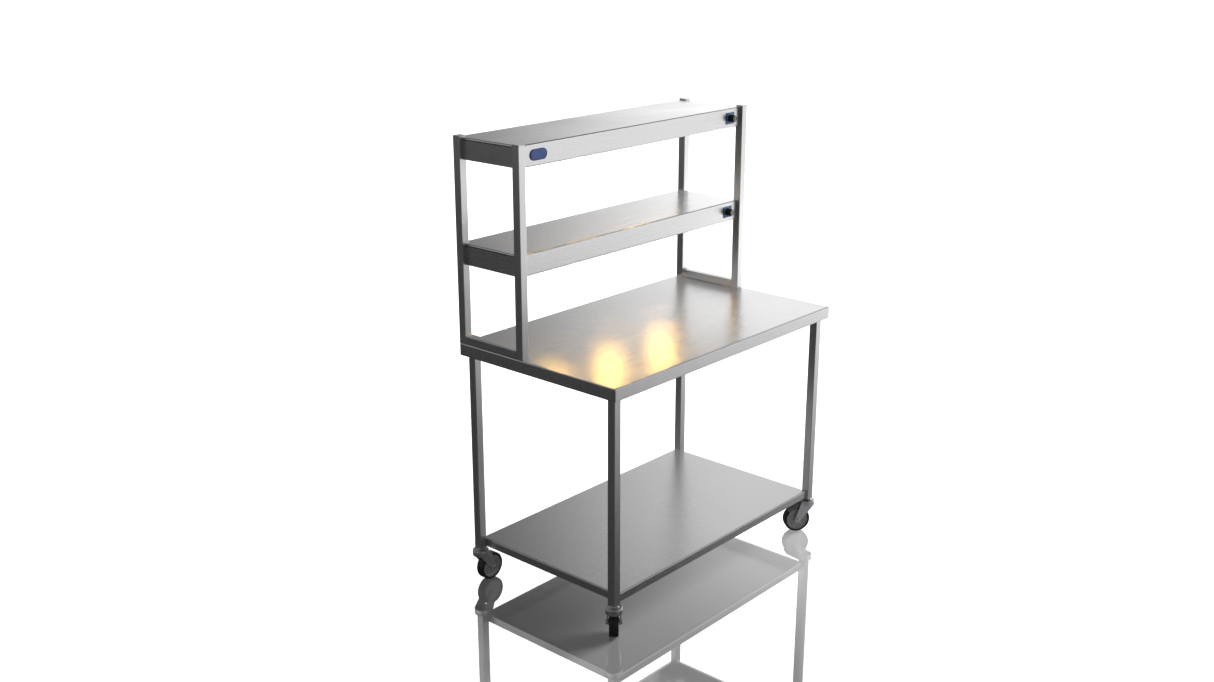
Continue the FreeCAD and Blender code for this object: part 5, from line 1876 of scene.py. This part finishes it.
@dataclass
class Studio:
    """Floor, sky, lights and camera."""

    reach: float = 60.0
    camera_place: tuple[float, float, float] = (-3.5232, -2.9069, 2.3087)
    azimuth: float = 48.45
    tilt: float = 17.88
    lens: float = 40.04
    sensor: float = 36.0
    floor_tone: float = 0.3
    mirror_tone: float = 0.60
    # Painted light on the floor: the first ramp is a glow along X that the camera sees, the second a bounce
    # glow along X for every other ray.
    haze: tuple[float, float, float, float] = (-0.7, 1.0, 0.02, 0.34)
    bounce: tuple[float, float, float, float] = (-0.7, 3.6, 0.05, 1.05)
    white_level: float = 1.8
    fill_level: float = 0.17

    def build(self) -> None:
        """Set the stage."""
        self.camera()
        self.floor()
        self.sky()
        self.lights()
        bpy.context.scene.view_settings.view_transform = "Standard"

    def camera(self) -> None:
        """The camera, level, turned to the right and tilted down."""
        data = bpy.data.cameras.new("camera")
        data.lens = self.lens
        data.sensor_width = self.sensor
        data.clip_end = 200.0
        camera = bpy.data.objects.new("camera", data)
        camera.location = self.camera_place
        camera.rotation_euler = Euler((math.radians(90 - self.tilt), 0, math.radians(-self.azimuth)))
        bpy.context.scene.collection.objects.link(camera)
        bpy.context.scene.camera = camera

    def floor(self) -> None:
        """A glossy white floor, open from below, with painted light: an emission graded along X that the
        camera sees, and a bounce glow graded along X for every other ray.
        """
        mesh = flat([Vector((x * self.reach, y * self.reach, -0.2 * MM))
            for x, y in ((-1, -1), (1, -1), (1, 1), (-1, 1))], "floor")
        floor = bpy.data.objects.new("floor", mesh)
        bpy.context.scene.collection.objects.link(floor)
        material = bpy.data.materials.new("floor")
        material.use_nodes = True
        material.node_tree.nodes.clear()
        wiring = Wiring(material.node_tree)
        path = wiring.add("ShaderNodeLightPath")
        place = wiring.add("ShaderNodeNewGeometry")
        parts = wiring.add("ShaderNodeSeparateXYZ", {0: place.outputs["Position"]})
        matt = wiring.add("ShaderNodeBsdfDiffuse", {"Color": rgba([self.floor_tone] * 3)})
        # Painted light: emission that brightens the floor towards +X for the camera.
        haze = wiring.add("ShaderNodeEmission",
            {"Color": (1, 1, 1, 1), "Strength": wiring.ramp(parts.outputs["X"], *self.haze)})
        gloss = wiring.add("ShaderNodeBsdfGlossy", {"Color": rgba([self.mirror_tone] * 3), "Roughness": 0.0})
        seen = wiring.add("ShaderNodeAddShader", {0: matt.outputs[0], 1: gloss.outputs[0]})
        seen = wiring.add("ShaderNodeAddShader", {0: seen.outputs[0], 1: haze.outputs[0]})
        bounce = wiring.ramp(parts.outputs["X"], *self.bounce)
        glow = wiring.add("ShaderNodeEmission", {"Color": (1, 1, 1, 1), "Strength": bounce})
        lit = wiring.add("ShaderNodeMixShader",
            {0: path.outputs["Is Camera Ray"], 1: glow.outputs[0], 2: seen.outputs[0]})
        clear = wiring.add("ShaderNodeBsdfTransparent")
        sided = wiring.add("ShaderNodeMixShader",
            {0: place.outputs["Backfacing"], 1: lit.outputs[0], 2: clear.outputs[0]})
        output = wiring.add("ShaderNodeOutputMaterial")
        wiring.feed(output.inputs["Surface"], sided.outputs[0])
        mesh.materials.append(material)

    def sky(self) -> None:
        """White to the eye and to the mirror, and a soft gradient to everything else."""
        world = bpy.data.worlds.new("studio")
        bpy.context.scene.world = world
        world.use_nodes = True
        world.node_tree.nodes.clear()
        wiring = Wiring(world.node_tree)
        path = wiring.add("ShaderNodeLightPath")
        way = wiring.add("ShaderNodeTexCoord")
        parts = wiring.add("ShaderNodeSeparateXYZ", {0: way.outputs["Generated"]})
        across = wiring.math("MULTIPLY", parts.outputs["X"], 0.87)
        toward = wiring.math("MULTIPLY", parts.outputs["Y"], -0.5)
        turn = wiring.math("ADD", across, toward)
        low = wiring.ramp(parts.outputs["Z"], 0.42, 0.03)
        key = wiring.math("MULTIPLY", wiring.ramp(turn, 0.1, 0.5, 0.0, 2.0), low)
        fill = wiring.math("ADD", wiring.ramp(turn, -0.4, -0.8, 0.0, 0.45), self.fill_level)
        soft = wiring.math("ADD", key,
            wiring.math("MULTIPLY", fill, wiring.ramp(parts.outputs["Z"], 0.7, 0.4)))
        white = wiring.math("MAXIMUM", path.outputs["Is Camera Ray"], path.outputs["Is Singular Ray"])
        strength = wiring.add("ShaderNodeMix", {"Factor": white}, data_type="FLOAT")
        wiring.feed(strength.inputs[2], soft)
        wiring.feed(strength.inputs[3], self.white_level)
        ground = wiring.add("ShaderNodeBackground", {"Color": (1, 1, 1, 1), "Strength": strength.outputs[0]})
        output = wiring.add("ShaderNodeOutputWorld")
        wiring.feed(output.inputs["Surface"], ground.outputs[0])

    def lights(self) -> None:
        """Soft panels behind the right-hand end and low at the front right."""
        self.panel("rear_panel", Vector((2.2, 1.1, 1.5)), Vector((0, 1.1, 1.5)), (5.0, 5.4), 0.70)
        self.panel("front_panel", Vector((2.6, -0.6, 0.5)), Vector((0, -0.6, 0.5)), (1.6, 1.2), 4.0)
        self.sun("side_sun", 3.6, 30.0, Vector((0.88, -0.3, 0.4)))

    def sun(self, name: str, strength: float, spread: float, source: Vector) -> None:
        """A soft distant light from its source's direction, for what isn't polished."""
        data = bpy.data.lights.new(name, "SUN")
        data.energy = strength
        data.angle = math.radians(spread)
        lamp = bpy.data.objects.new(name, data)
        lamp.rotation_euler = source.to_track_quat("Z", "Y").to_euler()
        lamp.visible_glossy = False
        bpy.context.scene.collection.objects.link(lamp)

    def panel(self, name: str, place: Vector, aim: Vector, size: Pair, strength: float) -> None:
        """A soft-edged light panel that lights the steel but is in neither the view nor the floor.

        Args:
            name: the panel's name.
            place: its middle.
            aim: the point that it faces.
            size: its width and height.
            strength: the light in its middle, which fades to nothing at the edge.
        """
        outline = [Vector((x * size[0] / 2, y * size[1] / 2, 0))
            for x, y in ((-1, 1), (1, 1), (1, -1), (-1, -1))]
        panel = bpy.data.objects.new(name, flat(outline, name))
        panel.location = place
        panel.rotation_euler = (aim - place).to_track_quat("-Z", "Y").to_euler()
        bpy.context.scene.collection.objects.link(panel)
        material = bpy.data.materials.new(name)
        material.use_nodes = True
        material.node_tree.nodes.clear()
        wiring = Wiring(material.node_tree)
        path = wiring.add("ShaderNodeLightPath")
        side = wiring.add("ShaderNodeNewGeometry")
        way = wiring.add("ShaderNodeTexCoord")
        half = (2 / size[0], 2 / size[1], 0.0)
        spot = wiring.add("ShaderNodeVectorMath", {0: way.outputs["Object"], 1: half}, operation="MULTIPLY")
        reach = wiring.add("ShaderNodeVectorMath", {0: spot.outputs[0]}, operation="LENGTH")
        fade = wiring.ramp(reach.outputs["Value"], 1.0, 0.0, 0.0, strength)
        seen = wiring.math("MAXIMUM", path.outputs["Is Camera Ray"], path.outputs["Is Singular Ray"])
        hidden = wiring.math("MAXIMUM", seen, side.outputs["Backfacing"])
        level = wiring.math("MULTIPLY", fade, wiring.math("SUBTRACT", 1.0, hidden))
        glow = wiring.add("ShaderNodeEmission", {"Color": (1, 1, 1, 1), "Strength": level})
        clear = wiring.add("ShaderNodeBsdfTransparent")
        both = wiring.add("ShaderNodeAddShader", {0: glow.outputs[0], 1: clear.outputs[0]})
        output = wiring.add("ShaderNodeOutputMaterial")
        wiring.feed(output.inputs["Surface"], both.outputs[0])
        panel.data.materials.append(material)


# ------------------------------------------------------------------ everything in order


def main() -> None:
    """Build the shared effects, then the stage, then every sub-assembly."""
    logging.basicConfig(level=logging.INFO, format="%(name)s %(message)s")
    build_groups()
    build_trees()
    Studio().build()
    WorkTable().build()
    GantryFrame().build()
    for tier in ("upper", "middle"):
        HeatedTier(tier).build()
        ControlDial(tier).build()
    Badge().build()
    PowerInlet().build()
    for corner in ("front_left", "front_right", "rear_left", "rear_right"):
        Castor(corner, braked=corner.startswith("front")).build()
    redress("castor_stems", STEM_ZINC)


if __name__ == "__main__":
    main()
